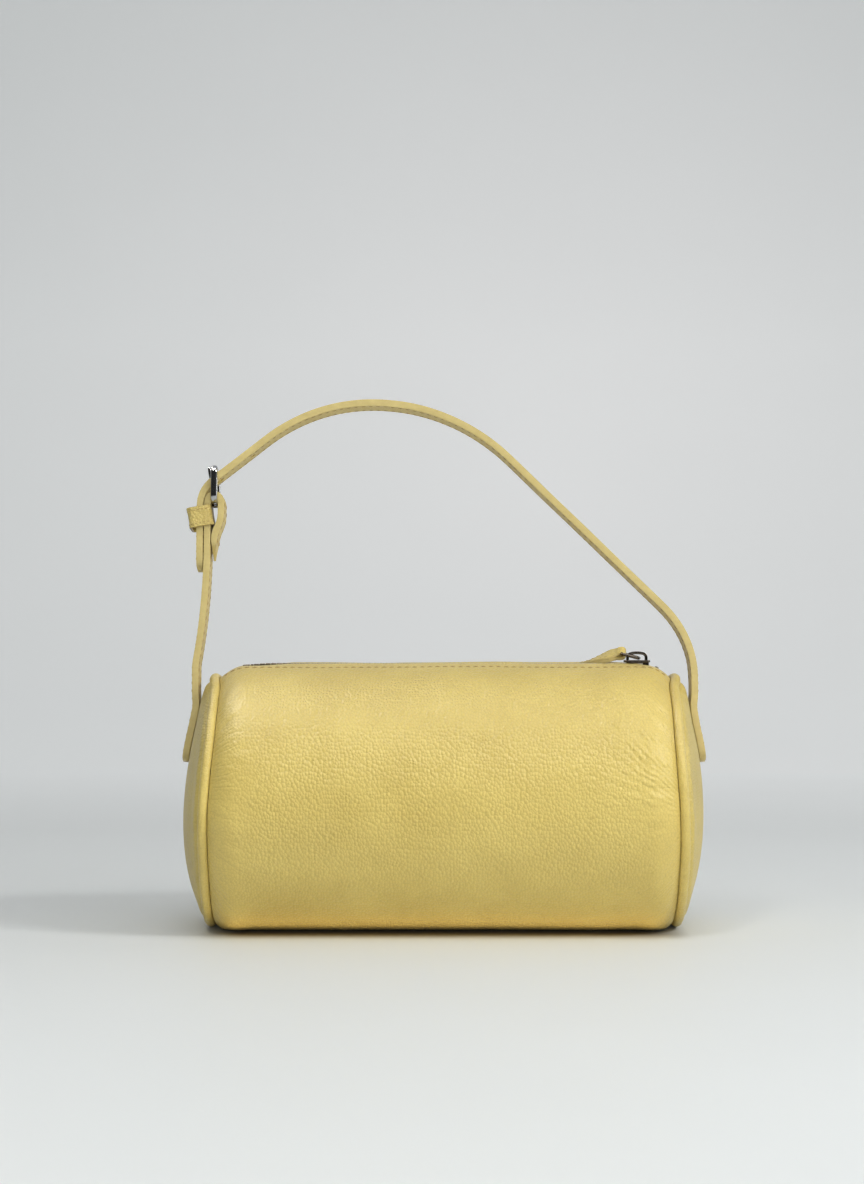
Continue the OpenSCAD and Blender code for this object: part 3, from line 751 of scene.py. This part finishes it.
def dome_profile():
    """Half the outline of an end: a shallow dome that rolls over at its edge."""
    rings, turns = 44, 8
    profile = [(DOME_C + math.sqrt(DOME_R ** 2 - r ** 2), r)
               for r in (DOME_EDGE * i / rings for i in range(rings + 1))]
    slope = math.asin(DOME_EDGE / DOME_R)
    x, r = profile[-1][0] - DOME_ROLL * math.cos(slope), DOME_EDGE - DOME_ROLL * math.sin(slope)
    for i in range(1, turns + 1):
        turn = mix(slope, 118 * RAD, i / turns)
        profile.append((x + DOME_ROLL * math.cos(turn), r + DOME_ROLL * math.sin(turn)))
    return profile


def make_domes():
    for side, word in ENDS:
        dome = turned(f"end_leather_painted_shade_{word}", dome_profile(), 160, end_leather_painted_shade, side)
        for vertex in dome.data.vertices:
            y, z = vertex.co.y, vertex.co.z
            r = math.hypot(y, z - AXIS_H)
            fade = smooth(DOME_RIM, DOME_RIM - 9 * MM, r)
            wave = noise.noise(Vector((y * 26, z * 26, side * 4.0)))
            pucker = noise.noise(Vector((y * 120, z * 120, side * 9.0)))
            near_rim = (smooth(DOME_RIM - 14 * MM, DOME_RIM - 4 * MM, r)
                        * smooth(DOME_RIM, DOME_RIM - 3 * MM, r))
            lift = 0.35 * wave * fade + 0.25 * pucker * near_rim - 0.15 * fade
            vertex.co.x += side * lift * MM
            vertex.co = settle(vertex.co)
        solid_wall(dome, DOME_T)
        weld(dome)
        shade(dome, 60)
        finish_piece(dome, "root", [f"end_panel_{word}"])


def make_piping():
    for side, word in ENDS:
        deselect()
        bpy.ops.mesh.primitive_torus_add(
            major_radius=RING_R, minor_radius=PIPING_R, major_segments=220, minor_segments=20,
            location=(side * RING_X, 0, AXIS_H), rotation=(0, 90 * RAD, 0))
        ring = bpy.context.object
        ring.name = f"piping_{word}"
        apply_place(ring)
        for vertex in ring.data.vertices:
            angle = math.atan2(vertex.co.y, vertex.co.z - AXIS_H)
            sine, cosine = math.sin(angle), math.cos(angle)
            centre = Vector((side * RING_X, RING_R * sine, AXIS_H + RING_R * cosine))
            ripple = 0.05 * noise.noise(Vector((cosine * 14, sine * 14, side)))
            ripple += 0.02 * math.sin(angle * 90) * (vertex.co.x - centre.x) / PIPING_R
            vertex.co = settle(centre + (vertex.co - centre) * (1 + ripple - 0.02))
        ring.data.materials.append(piping_leather)
        shade(ring, 60)
        finish_piece(ring, "root", [f"piping_cover_{word}"])


# Zip

def chain_turn(x):
    """How far the zip has turned down at x, where it follows the shoulders."""
    return math.copysign(max(0, abs(x) - STRAIGHT_HALF) / CHAIN_ARC_R, x)


def chain_place(x, y, lift=0.0):
    """A point on the zip, which follows the shoulders down at both ends."""
    turn = abs(chain_turn(x))
    reach = CHAIN_ARC_R + lift
    sag = 0.6 * MM * smooth(-84 * MM, -98 * MM, x)
    return Vector((math.copysign(min(abs(x), STRAIGHT_HALF) + reach * math.sin(turn), x), y,
                   CHAIN_Z - CHAIN_ARC_R + reach * math.cos(turn) - sag))


def on_chain(x, y):
    """Where a tooth or stop sits on the chain, and how it is turned."""
    return Matrix.Translation(chain_place(x, y)) @ Matrix.Rotation(chain_turn(x), 4, "Y")


def make_tapes():
    end = STRAIGHT_HALF + CHAIN_ARC_R * 54 * RAD
    inner = BARREL_R - PANEL_T
    for side, word in FACES:
        def place(u, v):
            y = mix(2.2 * MM, 15.5 * MM, v if side > 0 else 1 - v) * side
            return chain_place(end * (2 * u - 1), y, math.sqrt(inner ** 2 - y ** 2) - inner)

        tape = curved_sheet(f"tape_{word}", 120, 10, place, [tape_cloth])
        solid_wall(tape, 0.55 * MM, 0)
        shade(tape, 60)
        finish_piece(tape, "root", [f"zip_tape_{word}"])


def make_tooth():
    """One tooth, waisted in its middle."""
    deselect()
    bpy.ops.mesh.primitive_cube_add(size=1)
    tooth = bpy.context.object
    bpy.ops.object.mode_set(mode="EDIT")
    bpy.ops.mesh.subdivide(number_cuts=2)
    bpy.ops.object.mode_set(mode="OBJECT")
    for vertex in tooth.data.vertices:
        x, y, z = vertex.co
        waist = 0.62 if abs(y) < 0.3 and abs(x) > 0.3 else 1
        vertex.co = (x * 1.3 * MM * waist, y * 3.5 * MM, z * 2.5 * MM)
    round_edges(tooth, 0.22 * MM, 2)
    apply_modifiers(tooth)
    return tooth


def make_teeth():
    for side, word in FACES:
        first = FIRST_TOOTH_X + (0.5 * TOOTH_PITCH if side > 0 else 0)
        places = [on_chain(first + i * TOOTH_PITCH, side * 1.2 * MM) for i in range(TOOTH_COUNT)]
        row = merge_copies(f"teeth_{word}", make_tooth(), places, teeth_metal)
        finish_piece(row, "root", [f"zip_teeth_{word}"])


def make_zip_stitches():
    places = []
    angle = math.asin(ZIP_STITCH_Y / BARREL_R)
    count = int((STRAIGHT_HALF + 12 * MM) / STITCH_PITCH)
    for turn in (angle, 2 * math.pi - angle):
        for i in range(-count, count + 1):
            x = i * STITCH_PITCH
            point = panel_point(x, turn)
            ahead = panel_point(x + 0.5 * MM, turn)
            tilt = math.copysign(max(0, abs(x) - STRAIGHT_HALF), x) / SHOULDER_R
            sunk = point - Vector((0, 0, 0.1 * MM))
            places.append(stitch_matrix(sunk, ahead - point, Vector((tilt, point.y * 15, 1))))
    row = merge_copies("zip_threads", stitch_pattern(2.7 * MM, 0.42 * MM), places, thread)
    finish_piece(row, "root", ["zip_stitching"])


# Straps: paths in the handle's own plane, x across the bag and s up from the pivot

def walk(start, moves, step=1.6 * MM):
    """Points (x, s, heading) along moves, each ("go", length) or ("turn", radius, degrees)."""
    points = [start]
    for move in moves:
        x, s, heading = points[-1]
        if move[0] == "go":
            parts = max(1, round(move[1] / step))
            for i in range(1, parts + 1):
                d = move[1] * i / parts
                points.append((x + d * math.cos(heading), s + d * math.sin(heading), heading))
        else:
            radius, angle = move[1], move[2] * RAD
            side = 1 if angle > 0 else -1
            parts = max(2, round(radius * abs(angle) / step))
            for i in range(1, parts + 1):
                a = heading + angle * i / parts
                points.append((x + side * radius * (math.sin(a) - math.sin(heading)),
                               s - side * radius * (math.cos(a) - math.cos(heading)), a))
    return points


def handle_point(x, y, s):
    """From the handle's plane to the bag's frame; below the bend the strap stands upright."""
    lean = LEAN * smooth(-9 * MM, 9 * MM, s)
    return Vector((x, y * math.cos(lean) + s * math.sin(lean),
                   PIVOT_H + s * math.cos(lean) - y * math.sin(lean)))


def lean_matrix(x, y, s):
    return Matrix.Translation(handle_point(x, y, s)) @ Matrix.Rotation(-LEAN, 4, "X")


def sewn_path(side):
    """The strap end sewn to the dome, from its low tip up to the bend."""
    points = []
    centre = DOME_R + 0.1 * MM + STRAP_T / 2
    low, high, steps = TAIL_LOW - PIVOT_H, -7.5 * MM, 20
    for i in range(steps + 1):
        s = mix(low, high, i / steps)
        r = PIVOT_H + s - AXIS_H
        x = DOME_C + math.sqrt(centre ** 2 - r ** 2)
        points.append((side * x, s, 90 * RAD + side * math.asin(r / centre)))
    return points


def relaxed(path, rounds=3):
    """Softens the corners between stretches and works the headings out again."""
    points = [(x, s) for x, s, _ in path]
    for _ in range(rounds):
        inner = [tuple(mix(b[i], (a[i] + c[i]) / 2, 0.5) for i in (0, 1))
                 for a, b, c in zip(points, points[1:], points[2:])]
        points = [points[0], *inner, points[-1]]
    result = []
    for i, (x, s) in enumerate(points):
        a, b = points[max(0, i - 1)], points[min(len(points) - 1, i + 1)]
        result.append((x, s, math.atan2(b[1] - a[1], b[0] - a[0])))
    return result


def path_lengths(path):
    total, lengths = 0, [0]
    for a, b in zip(path, path[1:]):
        total += math.hypot(b[0] - a[0], b[1] - a[1])
        lengths.append(total)
    return lengths


def on_path(path, lengths, distance):
    """Point and heading at a distance along a path."""
    low, high = 0, len(lengths) - 1
    while high - low > 1:
        middle = (low + high) // 2
        if lengths[middle] <= distance:
            low = middle
        else:
            high = middle
    share = (distance - lengths[low]) / max(1e-9, lengths[high] - lengths[low])
    a, b = path[low], path[high]
    turn = (b[2] - a[2] + math.pi) % (2 * math.pi) - math.pi
    return mix(a[0], b[0], share), mix(a[1], b[1], share), a[2] + turn * share


def strap_outline(distance, total, ends):
    """Share of the full half width at a distance, rounded or pointed at either end."""
    share = 1
    for style, from_end in ((ends[0], distance), (ends[1], total - distance)):
        if style == "round":
            reach = STRAP_W / 2
            share = min(share, math.sqrt(max(0.002, 1 - (max(0, reach - from_end) / reach) ** 2)))
        if style == "point":
            reach = STRAP_W * 0.62
            share = min(share, 0.12 + 0.88 * smooth(0, reach, from_end) ** 0.8)
    return share


def strap_place(path, lengths, distance, y, out):
    """A place on the strap: distance along it, y across it and out from its middle layer."""
    x, s, heading = on_path(path, lengths, distance)
    return settle(handle_point(x - out * math.sin(heading), y, s + out * math.cos(heading)))


def strap_thinning(from_end, style):
    """Share of the full thickness near an end: pared thin if pointed, eased if round."""
    low, reach = {"point": (0.34, 13 * MM), "round": (0.72, 2.6 * MM)}[style]
    return mix(low, 1, smooth(0, reach, from_end))


def make_strap(name, path, ends, holes=()):
    """A leather strap along a path: it is cut and edged flat, then laid along the path."""
    lengths = path_lengths(path)
    total = lengths[-1]
    rows = max(24, round(total / (1.7 * MM)))

    def flat(u, v):
        t = mix(u, 0.5 - 0.5 * math.cos(math.pi * u), 0.25)
        half = STRAP_W / 2 * strap_outline(total * t, total, ends)
        return Vector((total * t, half * (2 * v - 1), 0))

    strap = curved_sheet(name, rows, 18, flat, [strap_leather, strap_edge, strap_burnish_painted_shade])
    solid_wall(strap, STRAP_T, 0, 1, 0.75 * MM, 3, 2)
    for vertex in strap.data.vertices:
        distance, y, out = vertex.co
        thinning = min(strap_thinning(distance, ends[0]), strap_thinning(total - distance, ends[1]))
        wobble = 0.12 * MM * noise.noise(Vector((distance * 40, y * 30, len(name))))
        vertex.co = strap_place(path, lengths, distance, y, out * thinning + wobble)
    weld(strap)
    for distance, radius in holes:
        x, s, heading = on_path(path, lengths, distance)
        bpy.ops.mesh.primitive_cylinder_add(vertices=24, radius=radius, depth=12 * MM)
        punch = bpy.context.object
        punch.matrix_world = lean_matrix(x, 0, s) @ Matrix.Rotation(-heading, 4, "Y")
        cut_out(strap, punch)
    shade(strap)
    return strap, lengths


def strap_threads(name, path, lengths, runs):
    """Two rows of stitches for each run of (from, to, side of the strap)."""
    places = []
    for start, stop, side in runs:
        count = int((stop - start) / STITCH_PITCH)
        out = side * (STRAP_T / 2 - 0.1 * MM)
        for y in (-STITCH_Y, STITCH_Y):
            for i in range(count + 1):
                distance = start + i * STITCH_PITCH
                here = strap_place(path, lengths, distance, y, out)
                ahead = strap_place(path, lengths, distance + 0.4 * MM, y, out)
                above = strap_place(path, lengths, distance, y, out + side * MM)
                places.append(stitch_matrix(here, ahead - here, above - here))
    return merge_copies(name, stitch_pattern(), places, thread)


def bend_with_handle(piece):
    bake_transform(piece)


def make_long_strap():
    """From the punched tail through the buckle, over the crown and down to the right end."""
    over = walk((TAIL_X, 56.2 * MM, 90 * RAD), [
        ("go", 32.8 * MM), ("turn", 15 * MM, -52), ("go", 34.13 * MM), ("turn", 84.4 * MM, -38),
        ("turn", 96 * MM, -44.3), ("go", 105.32 * MM), ("turn", 50.4 * MM, -45.7),
        ("go", 2.8 * MM)])
    down = [(x, s, heading - math.pi) for x, s, heading in reversed(sewn_path(1))]
    path = relaxed(over + down, 4)
    bend_at = path_lengths(over)[-1]
    holes = ((25 * MM, 1.5 * MM), (49.5 * MM, 2.5 * MM), (70 * MM, 1.5 * MM))
    strap, lengths = make_strap("long_strap_leather", path, ("round", "round"), holes)
    threads = strap_threads("long_strap_threads", path, lengths, [
        (STITCH_END, lengths[-1] - STITCH_END, 1), (STITCH_END, bend_at - 4 * MM, -1)])
    for piece in (strap, threads):
        bend_with_handle(piece)
    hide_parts("long_strap", "strap_tail_right")
    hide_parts("tail_stitching")


def make_short_strap():
    """From the left end up to the buckle, folded round its heel bar and pared to a point."""
    up = walk((-STRAP_X, 0, 90 * RAD), [
        ("go", 9 * MM), ("turn", 12 * MM, -10), ("turn", 330 * MM, 10),
        ("go", HEEL_S - 68.39 * MM), ("turn", 3.36 * MM, -180), ("go", 6.5 * MM),
        ("turn", 13.82 * MM, -28.8), ("turn", 13.82 * MM, 28.8), ("go", 9.4 * MM)], 1.1 * MM)
    path = relaxed(sewn_path(-1) + up, 3)
    strap, lengths = make_strap("short_strap_leather", path, ("round", "point"))
    bar_at = path_lengths(sewn_path(-1) + up[:1])[-1] + HEEL_S
    bpy.ops.mesh.primitive_cube_add(size=1)
    punch = bpy.context.object
    punch.scale = (20 * MM, 3.8 * MM, 9.5 * MM)
    apply_place(punch)
    punch.matrix_world = lean_matrix(HEEL_X, 0, HEEL_S + 2.2 * MM)
    cut_out(strap, punch)
    shade(strap)
    threads = strap_threads("short_strap_threads", path, lengths, [
        (STITCH_END, bar_at - STITCH_END, 1), (38 * MM, bar_at - 22 * MM, -1),
        (bar_at + 12 * MM, lengths[-1] - 9 * MM, 1)])
    for piece in (strap, threads):
        bend_with_handle(piece)
    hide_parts("short_strap", "strap_tail_left")


def make_keeper():
    """A narrow leather band round the strap's tail, with two rows of stitches."""
    middle = (KEEPER_LOW_X + KEEPER_HIGH_X) / 2
    hx, half = (KEEPER_HIGH_X - KEEPER_LOW_X) / 2, STRAP_W / 2 + 1.0 * MM
    corner = 2.2 * MM

    def round_box(t):
        """A point and outward direction on a rounded rectangle, t from 0 to 1."""
        bend = corner * math.pi / 2
        d = (t % 1) * 4 * (hx + half - 2 * corner + bend)
        for quarter in range(4):
            out, reach = (hx, half) if quarter % 2 == 0 else (half, hx)
            run = 2 * (reach - corner)
            if d <= run:
                x, y, angle = out, d - run / 2, 0
                break
            d -= run
            if d <= bend or quarter == 3:
                angle = d / corner
                x, y = out - corner + corner * math.cos(angle), run / 2 + corner * math.sin(angle)
                break
            d -= bend
        turn = quarter * 90 * RAD
        cosine, sine = math.cos(turn), math.sin(turn)
        return (x * cosine - y * sine, x * sine + y * cosine,
                math.cos(angle + turn), math.sin(angle + turn))

    seat = (lean_matrix(0, 0, 0)
            @ Matrix.Translation((middle - 0.5 * MM, 0, KEEPER_S + KEEPER_H / 2))
            @ Matrix.Rotation(-10 * RAD, 4, "Y"))

    def place(u, v):
        x, y, _, _ = round_box(u)
        flare = 1 + 0.05 * (2 * v - 1) ** 2
        return seat @ Vector((x * flare, y * flare, KEEPER_H * (v - 0.5)))

    keeper = curved_sheet("keeper_band", 96, 6, place, [keeper_leather, strap_burnish_painted_shade])
    weld(keeper, 1e-5)
    solid_wall(keeper, 1.2 * MM, 0, 1, 0.3 * MM)
    shade(keeper)
    finish_piece(keeper, "handle", ["keeper_loop"])
    places, count, out = [], 26, 0.62 * MM
    turn = seat.to_3x3()
    for row in (1.8 * MM, KEEPER_H - 1.8 * MM):
        for i in range(count):
            x, y, nx, ny = round_box((i + 0.5) / count)
            if x < hx - 0.5 * MM:
                at = seat @ Vector((x + nx * out, y + ny * out, row - KEEPER_H / 2))
                places.append(stitch_matrix(at, turn @ Vector((-ny, nx, 0)),
                                            turn @ Vector((nx, ny, 0))))
    threads = merge_copies("keeper_threads", stitch_pattern(1.6 * MM, 0.3 * MM), places, thread)
    finish_piece(threads, "handle")


# Hardware

def bar_frame(name, length, width, radius, corner, square, to_world, material):
    """A closed loop of bar, its first cross bar on local Y; square flattens the bar's faces."""
    deselect()
    high = width / 2 - corner
    path = []
    for quarter, (x, y) in enumerate(((length - corner, high), (corner, high),
                                      (corner, -high), (length - corner, -high))):
        for i in range(9):
            a = (quarter + i / 8) * 90 * RAD
            path.append(Vector((x + corner * math.cos(a), y + corner * math.sin(a), 0)))
    around, ring = len(path), 28
    bpy.ops.mesh.primitive_torus_add(major_segments=around, minor_segments=ring,
                                     generate_uvs=False)
    loop = bpy.context.object
    loop.name = name
    for i, vertex in enumerate(loop.data.vertices):
        row, k = divmod(i, ring)
        along = (path[(row + 1) % around] - path[row - 1]).normalized()
        a = 2 * math.pi * k / ring
        across, over = (math.copysign(abs(part) ** (2 / square), part) * radius
                        for part in (math.cos(a), math.sin(a)))
        offset = Vector((along.y * across, -along.x * across, over))
        vertex.co = to_world @ (path[row] + offset)
    loop.data.materials.append(material)
    weld(loop)
    shade(loop, 60)
    return loop


def make_buckle():
    to_world = lean_matrix(HEEL_X, 0, HEEL_S) @ Matrix.Rotation(-90 * RAD, 4, "Y")
    loop = bar_frame("buckle_loop", 15.6 * MM, 19.2 * MM, 1.66 * MM, 2.1 * MM, 2.9, to_world,
                     buckle_metal)
    finish_piece(loop, "buckle_frame", ["buckle_frame"])


def rounded_block(name, size, to_world, material, rounding=0.3 * MM):
    """A small cast block with rounded edges."""
    deselect()
    bpy.ops.mesh.primitive_cube_add(size=1)
    block = bpy.context.object
    block.name = name
    for vertex in block.data.vertices:
        vertex.co = [part * reach for part, reach in zip(vertex.co, size)]
    round_edges(block, rounding, 3)
    apply_modifiers(block)
    for vertex in block.data.vertices:
        vertex.co = to_world @ vertex.co
    block.data.materials.append(material)
    shade(block, 40)
    return block


def joined(name, pieces):
    deselect()
    for piece in pieces:
        piece.select_set(True)
    bpy.context.view_layer.objects.active = pieces[0]
    bpy.ops.object.join()
    pieces[0].name = name
    return pieces[0]


def slider_plate(low, thick):
    """One plate of the slider: a shield with a rounded nose and rounded edges."""
    shares = [(-0.5, 0.0), (-0.497, 0.3), (-0.48, 0.55), (-0.43, 0.74), (-0.33, 0.82),
              (-0.1, 0.86), (0.12, 0.91), (0.28, 0.98), (0.38, 1.0), (0.45, 0.93), (0.485, 0.75),
              (0.47, 0.45), (0.455, 0.2), (0.45, 0.0)]
    outline = [(x * 13 * MM, y * 4.2 * MM) for x, y in shares]
    outline += [(x, -y) for x, y in reversed(outline[1:-1])]
    deselect()
    bpy.ops.mesh.primitive_circle_add(vertices=len(outline), fill_type="NGON")
    plate = bpy.context.object
    for vertex, (x, y) in zip(plate.data.vertices, outline):
        vertex.co = (SLIDER_X + x, y, CHAIN_Z + low + thick / 2)
    weld(plate)
    solid_wall(plate, thick, 0, 0, 0.35 * MM, 3, angle=40)
    plate.data.materials.append(zip_metal)
    return plate


def slider_bridge():
    """The arch over the slider that carries the link."""
    leg = 1.7 * MM
    arch = walk((-BRIDGE_LENGTH / 2, -0.5 * MM, 90 * RAD), [
        ("go", leg), ("turn", 2.1 * MM, -78), ("turn", 14 * MM, -24), ("turn", 2.1 * MM, -78),
        ("go", leg)], 0.3 * MM)
    lengths = path_lengths(arch)
    start = arch[0][0]
    stretch = BRIDGE_LENGTH / (arch[-1][0] - start)

    def place(u, v):
        x, z, _ = on_path(arch, lengths, lengths[-1] * u)
        width = mix(1.5, 1.15, math.sin(math.pi * u)) * MM
        return Vector((SLIDER_X - BRIDGE_LENGTH / 2 + (x - start) * stretch,
                       width * (2 * v - 1), BRIDGE_Z + z))

    bridge = curved_sheet("bridge", 40, 4, place, [zip_metal])
    solid_wall(bridge, 1.4 * MM, 0, 0, 0.4 * MM, 3)
    return bridge


def make_slider():
    top, thick = 1.55 * MM, 1.1 * MM
    pieces = [slider_plate(top, thick), slider_plate(-top - thick, thick)]
    for side in (-1, 1):
        for up in (-1, 1):
            place = Matrix.Translation((SLIDER_X - 1.2 * MM, side * 3.7 * MM,
                                        CHAIN_Z + up * 1.5 * MM))
            pieces.append(rounded_block("flange", (8 * MM, 0.7 * MM, 1.1 * MM), place, zip_metal,
                                        0.15 * MM))
    post = Matrix.Translation((SLIDER_X + 4.4 * MM, 0, CHAIN_Z))
    pieces.append(rounded_block("post", (3 * MM, 1.1 * MM, 3.4 * MM), post, zip_metal, 0.25 * MM))
    pieces.append(slider_bridge())
    slider = joined("slider_body", pieces)
    weld(slider)
    shade(slider, 40)
    finish_piece(slider, "zip_slider", ["zip_slider"])


def make_stops():
    top = [rounded_block("stop", (1.6 * MM, 2.9 * MM, 2.5 * MM),
                         on_chain(TOP_STOP_X, side * 1.55 * MM), teeth_metal) for side in (-1, 1)]
    finish_piece(joined("top_stops", top), "root", ["zip_top_stops"])
    bottom = rounded_block("bottom_stop", (3.2 * MM, 6 * MM, 2.3 * MM),
                           on_chain(BOTTOM_STOP_X, 0), teeth_metal)
    finish_piece(bottom, "root", ["zip_bottom_stop"])


def link_matrix():
    return (Matrix.Translation(LINK_PLACE) @ Matrix.Rotation(math.pi - PULL_YAW, 4, "Z")
            @ Matrix.Rotation(-PULL_RISE, 4, "Y"))


def make_link():
    loop = bar_frame("link_loop", LINK_LENGTH, 7.4 * MM, 0.72 * MM, 1.9 * MM, 2.0, link_matrix(),
                     zip_metal)
    finish_piece(loop, "pull_link", ["pull_link"])


def make_prong():
    """A strip wrapped round the heel bar that runs on as a pin with a rounded tip."""
    lean = lean_matrix(HEEL_X, 0, HEEL_S) @ Matrix.Rotation(-10.9 * RAD, 4, "Y")
    deselect()
    bpy.ops.mesh.primitive_torus_add(major_radius=2.33 * MM, minor_radius=0.57 * MM,
                                     major_segments=40, minor_segments=12)
    wrap = bpy.context.object
    for vertex in wrap.data.vertices:
        x, y, z = vertex.co
        vertex.co = lean @ Vector((x, z * 2.3, y))
    wrap.data.materials.append(buckle_metal)
    rows = [(2.2, 0.8), (4, 0.93), (8, 0.95), (12, 0.94), (15, 0.92), (16.6, 0.86), (17.5, 0.66),
            (18.0, 0.36), (18.15, 0.04)]
    ring = 24
    points = [lean @ (Vector((radius * math.cos(a), radius * math.sin(a), z)) * MM)
              for z, radius in rows for a in (2 * math.pi * k / ring for k in range(ring))]
    faces = [(i + k, i + (k + 1) % ring, i + ring + (k + 1) % ring, i + ring + k)
             for i in range(0, len(points) - ring, ring) for k in range(ring)]
    faces += [tuple(range(ring - 1, -1, -1)), tuple(range(len(points) - ring, len(points)))]
    prong = joined("buckle_pin", [wrap, mesh_piece("pin", points, faces, buckle_metal)])
    weld(prong)
    shade(prong)
    finish_piece(prong, "buckle_prong", ["buckle_prong"])


def make_pull_tab():
    """Two layers of leather sewn together round the pull link, pointed at the free end."""
    to_world = (link_matrix() @ Matrix.Translation((LINK_LENGTH, 0, 0))
                @ Matrix.Rotation(PULL_RISE + PULL_DROOP, 4, "Y"))
    bend = math.pi * TAB_LOOP_R
    shares = [(0.0, 0.5), (0.08, 0.52), (0.14, 0.7), (0.24, 0.95), (0.36, 1.0), (0.55, 0.95),
              (0.72, 0.8), (0.87, 0.5), (0.96, 0.24), (1.0, 0.1)]

    def half_width(share):
        for (a, wa), (b, wb) in zip(shares, shares[1:]):
            if share <= b:
                return TAB_HALF * mix(wa, wb, (share - a) / (b - a))
        return TAB_HALF * shares[-1][1]

    def apart(share):
        """How far a layer lies from the tab's middle: closed up a little way past the link."""
        return TAB_LOOP_R * mix(1, 0.47, smooth(0.02, 0.17, share))

    def tab_point(share, x, y, z):
        twist = 33 * RAD * (1 - share) ** 1.8
        sag = -2.6 * MM * smooth(0.0, 0.85, share)
        z *= mix(1, 0.42, smooth(0.2, 1.0, share))
        return to_world @ Vector((x, y * math.cos(twist) + z * math.sin(twist),
                                  z * math.cos(twist) - y * math.sin(twist) + sag))

    def place(u, v):
        d = (2 * TAB_LENGTH + bend) * u
        if d < TAB_LENGTH:
            share = 1 - d / TAB_LENGTH
            x, z = TAB_LENGTH - d, -apart(share)
        elif d < TAB_LENGTH + bend:
            a = (d - TAB_LENGTH) / TAB_LOOP_R
            share, x, z = 0, -TAB_LOOP_R * math.sin(a), -TAB_LOOP_R * math.cos(a)
        else:
            share = (d - TAB_LENGTH - bend) / TAB_LENGTH
            x, z = share * TAB_LENGTH, apart(share)
        return Vector((x, half_width(share) * (1 - 2 * v), z))

    tab = curved_sheet("pull_tab_leather", 90, 14, place, [strap_leather, strap_edge])
    solid_wall(tab, 1.35 * MM, 0, 1, 0.3 * MM)
    for vertex in tab.data.vertices:
        x, y, z = vertex.co
        vertex.co = tab_point(min(1, max(0, x / TAB_LENGTH)), x, y, z)
    weld(tab)
    shade(tab)
    finish_piece(tab, "pull_tab", ["pull_tab"])
    places, steps = [], 60
    for side in (-1, 1):
        last, gathered = None, 0
        for i in range(steps + 1):
            share = 0.2 + 0.74 * i / steps
            y = side * max(0, half_width(share) - 1.4 * MM)
            face = apart(share) + 0.7 * MM
            here = tab_point(share, share * TAB_LENGTH, y, face)
            if last:
                gathered += (here - last).length
                if gathered > 2.6 * MM:
                    gathered = 0
                    above = tab_point(share, share * TAB_LENGTH, y, face + MM)
                    places.append(stitch_matrix(here, here - last, above - here))
            last = here
    threads = merge_copies("pull_tab_threads", stitch_pattern(1.8 * MM, 0.25 * MM), places,
                           tab_thread)
    finish_piece(threads, "pull_tab")


# Inner layers, which the construction already has

def give_material(name, material):
    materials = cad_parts[name].data.materials
    materials.clear()
    materials.append(material)


def settled_copy(name, material):
    """An inner layer of the construction, settled with the leather that covers it."""
    give_material(name, material)
    piece = bpy.data.objects.new(f"{name}_settled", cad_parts[name].data.copy())
    bpy.context.scene.collection.objects.link(piece)
    weld(piece, outwards=False)
    for vertex in piece.data.vertices:
        vertex.co = settle(vertex.co)
    finish_piece(piece, "root", [name])


def make_inner_layers():
    settled_copy("panel_stiffener", stiffener_felt)
    settled_copy("barrel_lining", lining_cloth)
    for _, word in ENDS:
        settled_copy(f"end_stiffener_{word}", stiffener_felt)
        settled_copy(f"end_lining_{word}", lining_cloth)
        settled_copy(f"piping_cord_{word}", cord_cotton)
    give_material("base_board", base_card)


# Studio

def make_floor():
    """A floor that curves up into a plain backdrop far behind the bag."""
    span, near, bend, radius = 16, -9.6, 1.0, 2.4

    def place(u, v):
        x, d = (u - 0.5) * span, v * span + near
        if d < bend:
            return Vector((x, d, 0))
        a = min((d - bend) / radius, math.pi / 2)
        rise = max(0, d - bend - radius * math.pi / 2)
        return Vector((x, bend + radius * math.sin(a), radius * (1 - math.cos(a)) + rise))

    floor = curved_sheet("studio_floor", 4, 240, place, [floor_material("studio_paper")])
    shade(floor, 60)


# Name, place, target, size, watts, colour, seen in gloss, lights what is matt
LIGHTS = (
    ("key", (1.22, -0.82, 1.14), (0, 0, 0.08), (0.42, 0.42), 15.6, (1.0, 0.985, 0.96), True, True),
    ("top", (0.1, -0.5, 1.6), (0, 0, 0.05), (0.8, 0.5), 5.8, (1.0, 1.0, 1.0), True, True),
    ("left", (-0.38, -0.85, 1.25), (-0.06, 0, 0.09), (0.22, 0.22), 3.4, (1.0, 0.985, 0.96),
     True, True),
    ("front", (0.25, -1.6, 0.25), (0, -0.2, 0.0), (1.6, 0.5), 10.5, (1.0, 0.99, 0.97),
     False, True),
    ("bounce", (0, -0.037, 0.001), (0, -0.037, 1.0), (0.212, 0.014), 0.0074, (1.0, 0.80, 0.57),
     False, True),
    ("left_glint", (-0.62, 0.1, 1.15), (-0.1, -0.05, 0.11), (0.26, 0.26), 9.0, (1.0, 0.94, 0.82),
     True, False),
    ("grain_glint", (-0.1, -0.5, 1.5), (0, 0, 0.08), (0.9, 0.2), 1.4, (1.0, 1.0, 1.0),
     True, False),
    ("right_glint", (1.3, 0.2, 0.42), (0.1, -0.05, 0.1), (0.12, 0.5), 3.0, (1.0, 1.0, 1.0),
     True, False),
)

add_camera()
add_world()
for light in LIGHTS:
    add_area_light(*light)
make_floor()
make_body_panel()
make_domes()
make_piping()
make_tapes()
make_teeth()
make_zip_stitches()
make_long_strap()
make_short_strap()
make_keeper()
make_buckle()
make_prong()
make_slider()
make_stops()
make_link()
make_pull_tab()
make_inner_layers()
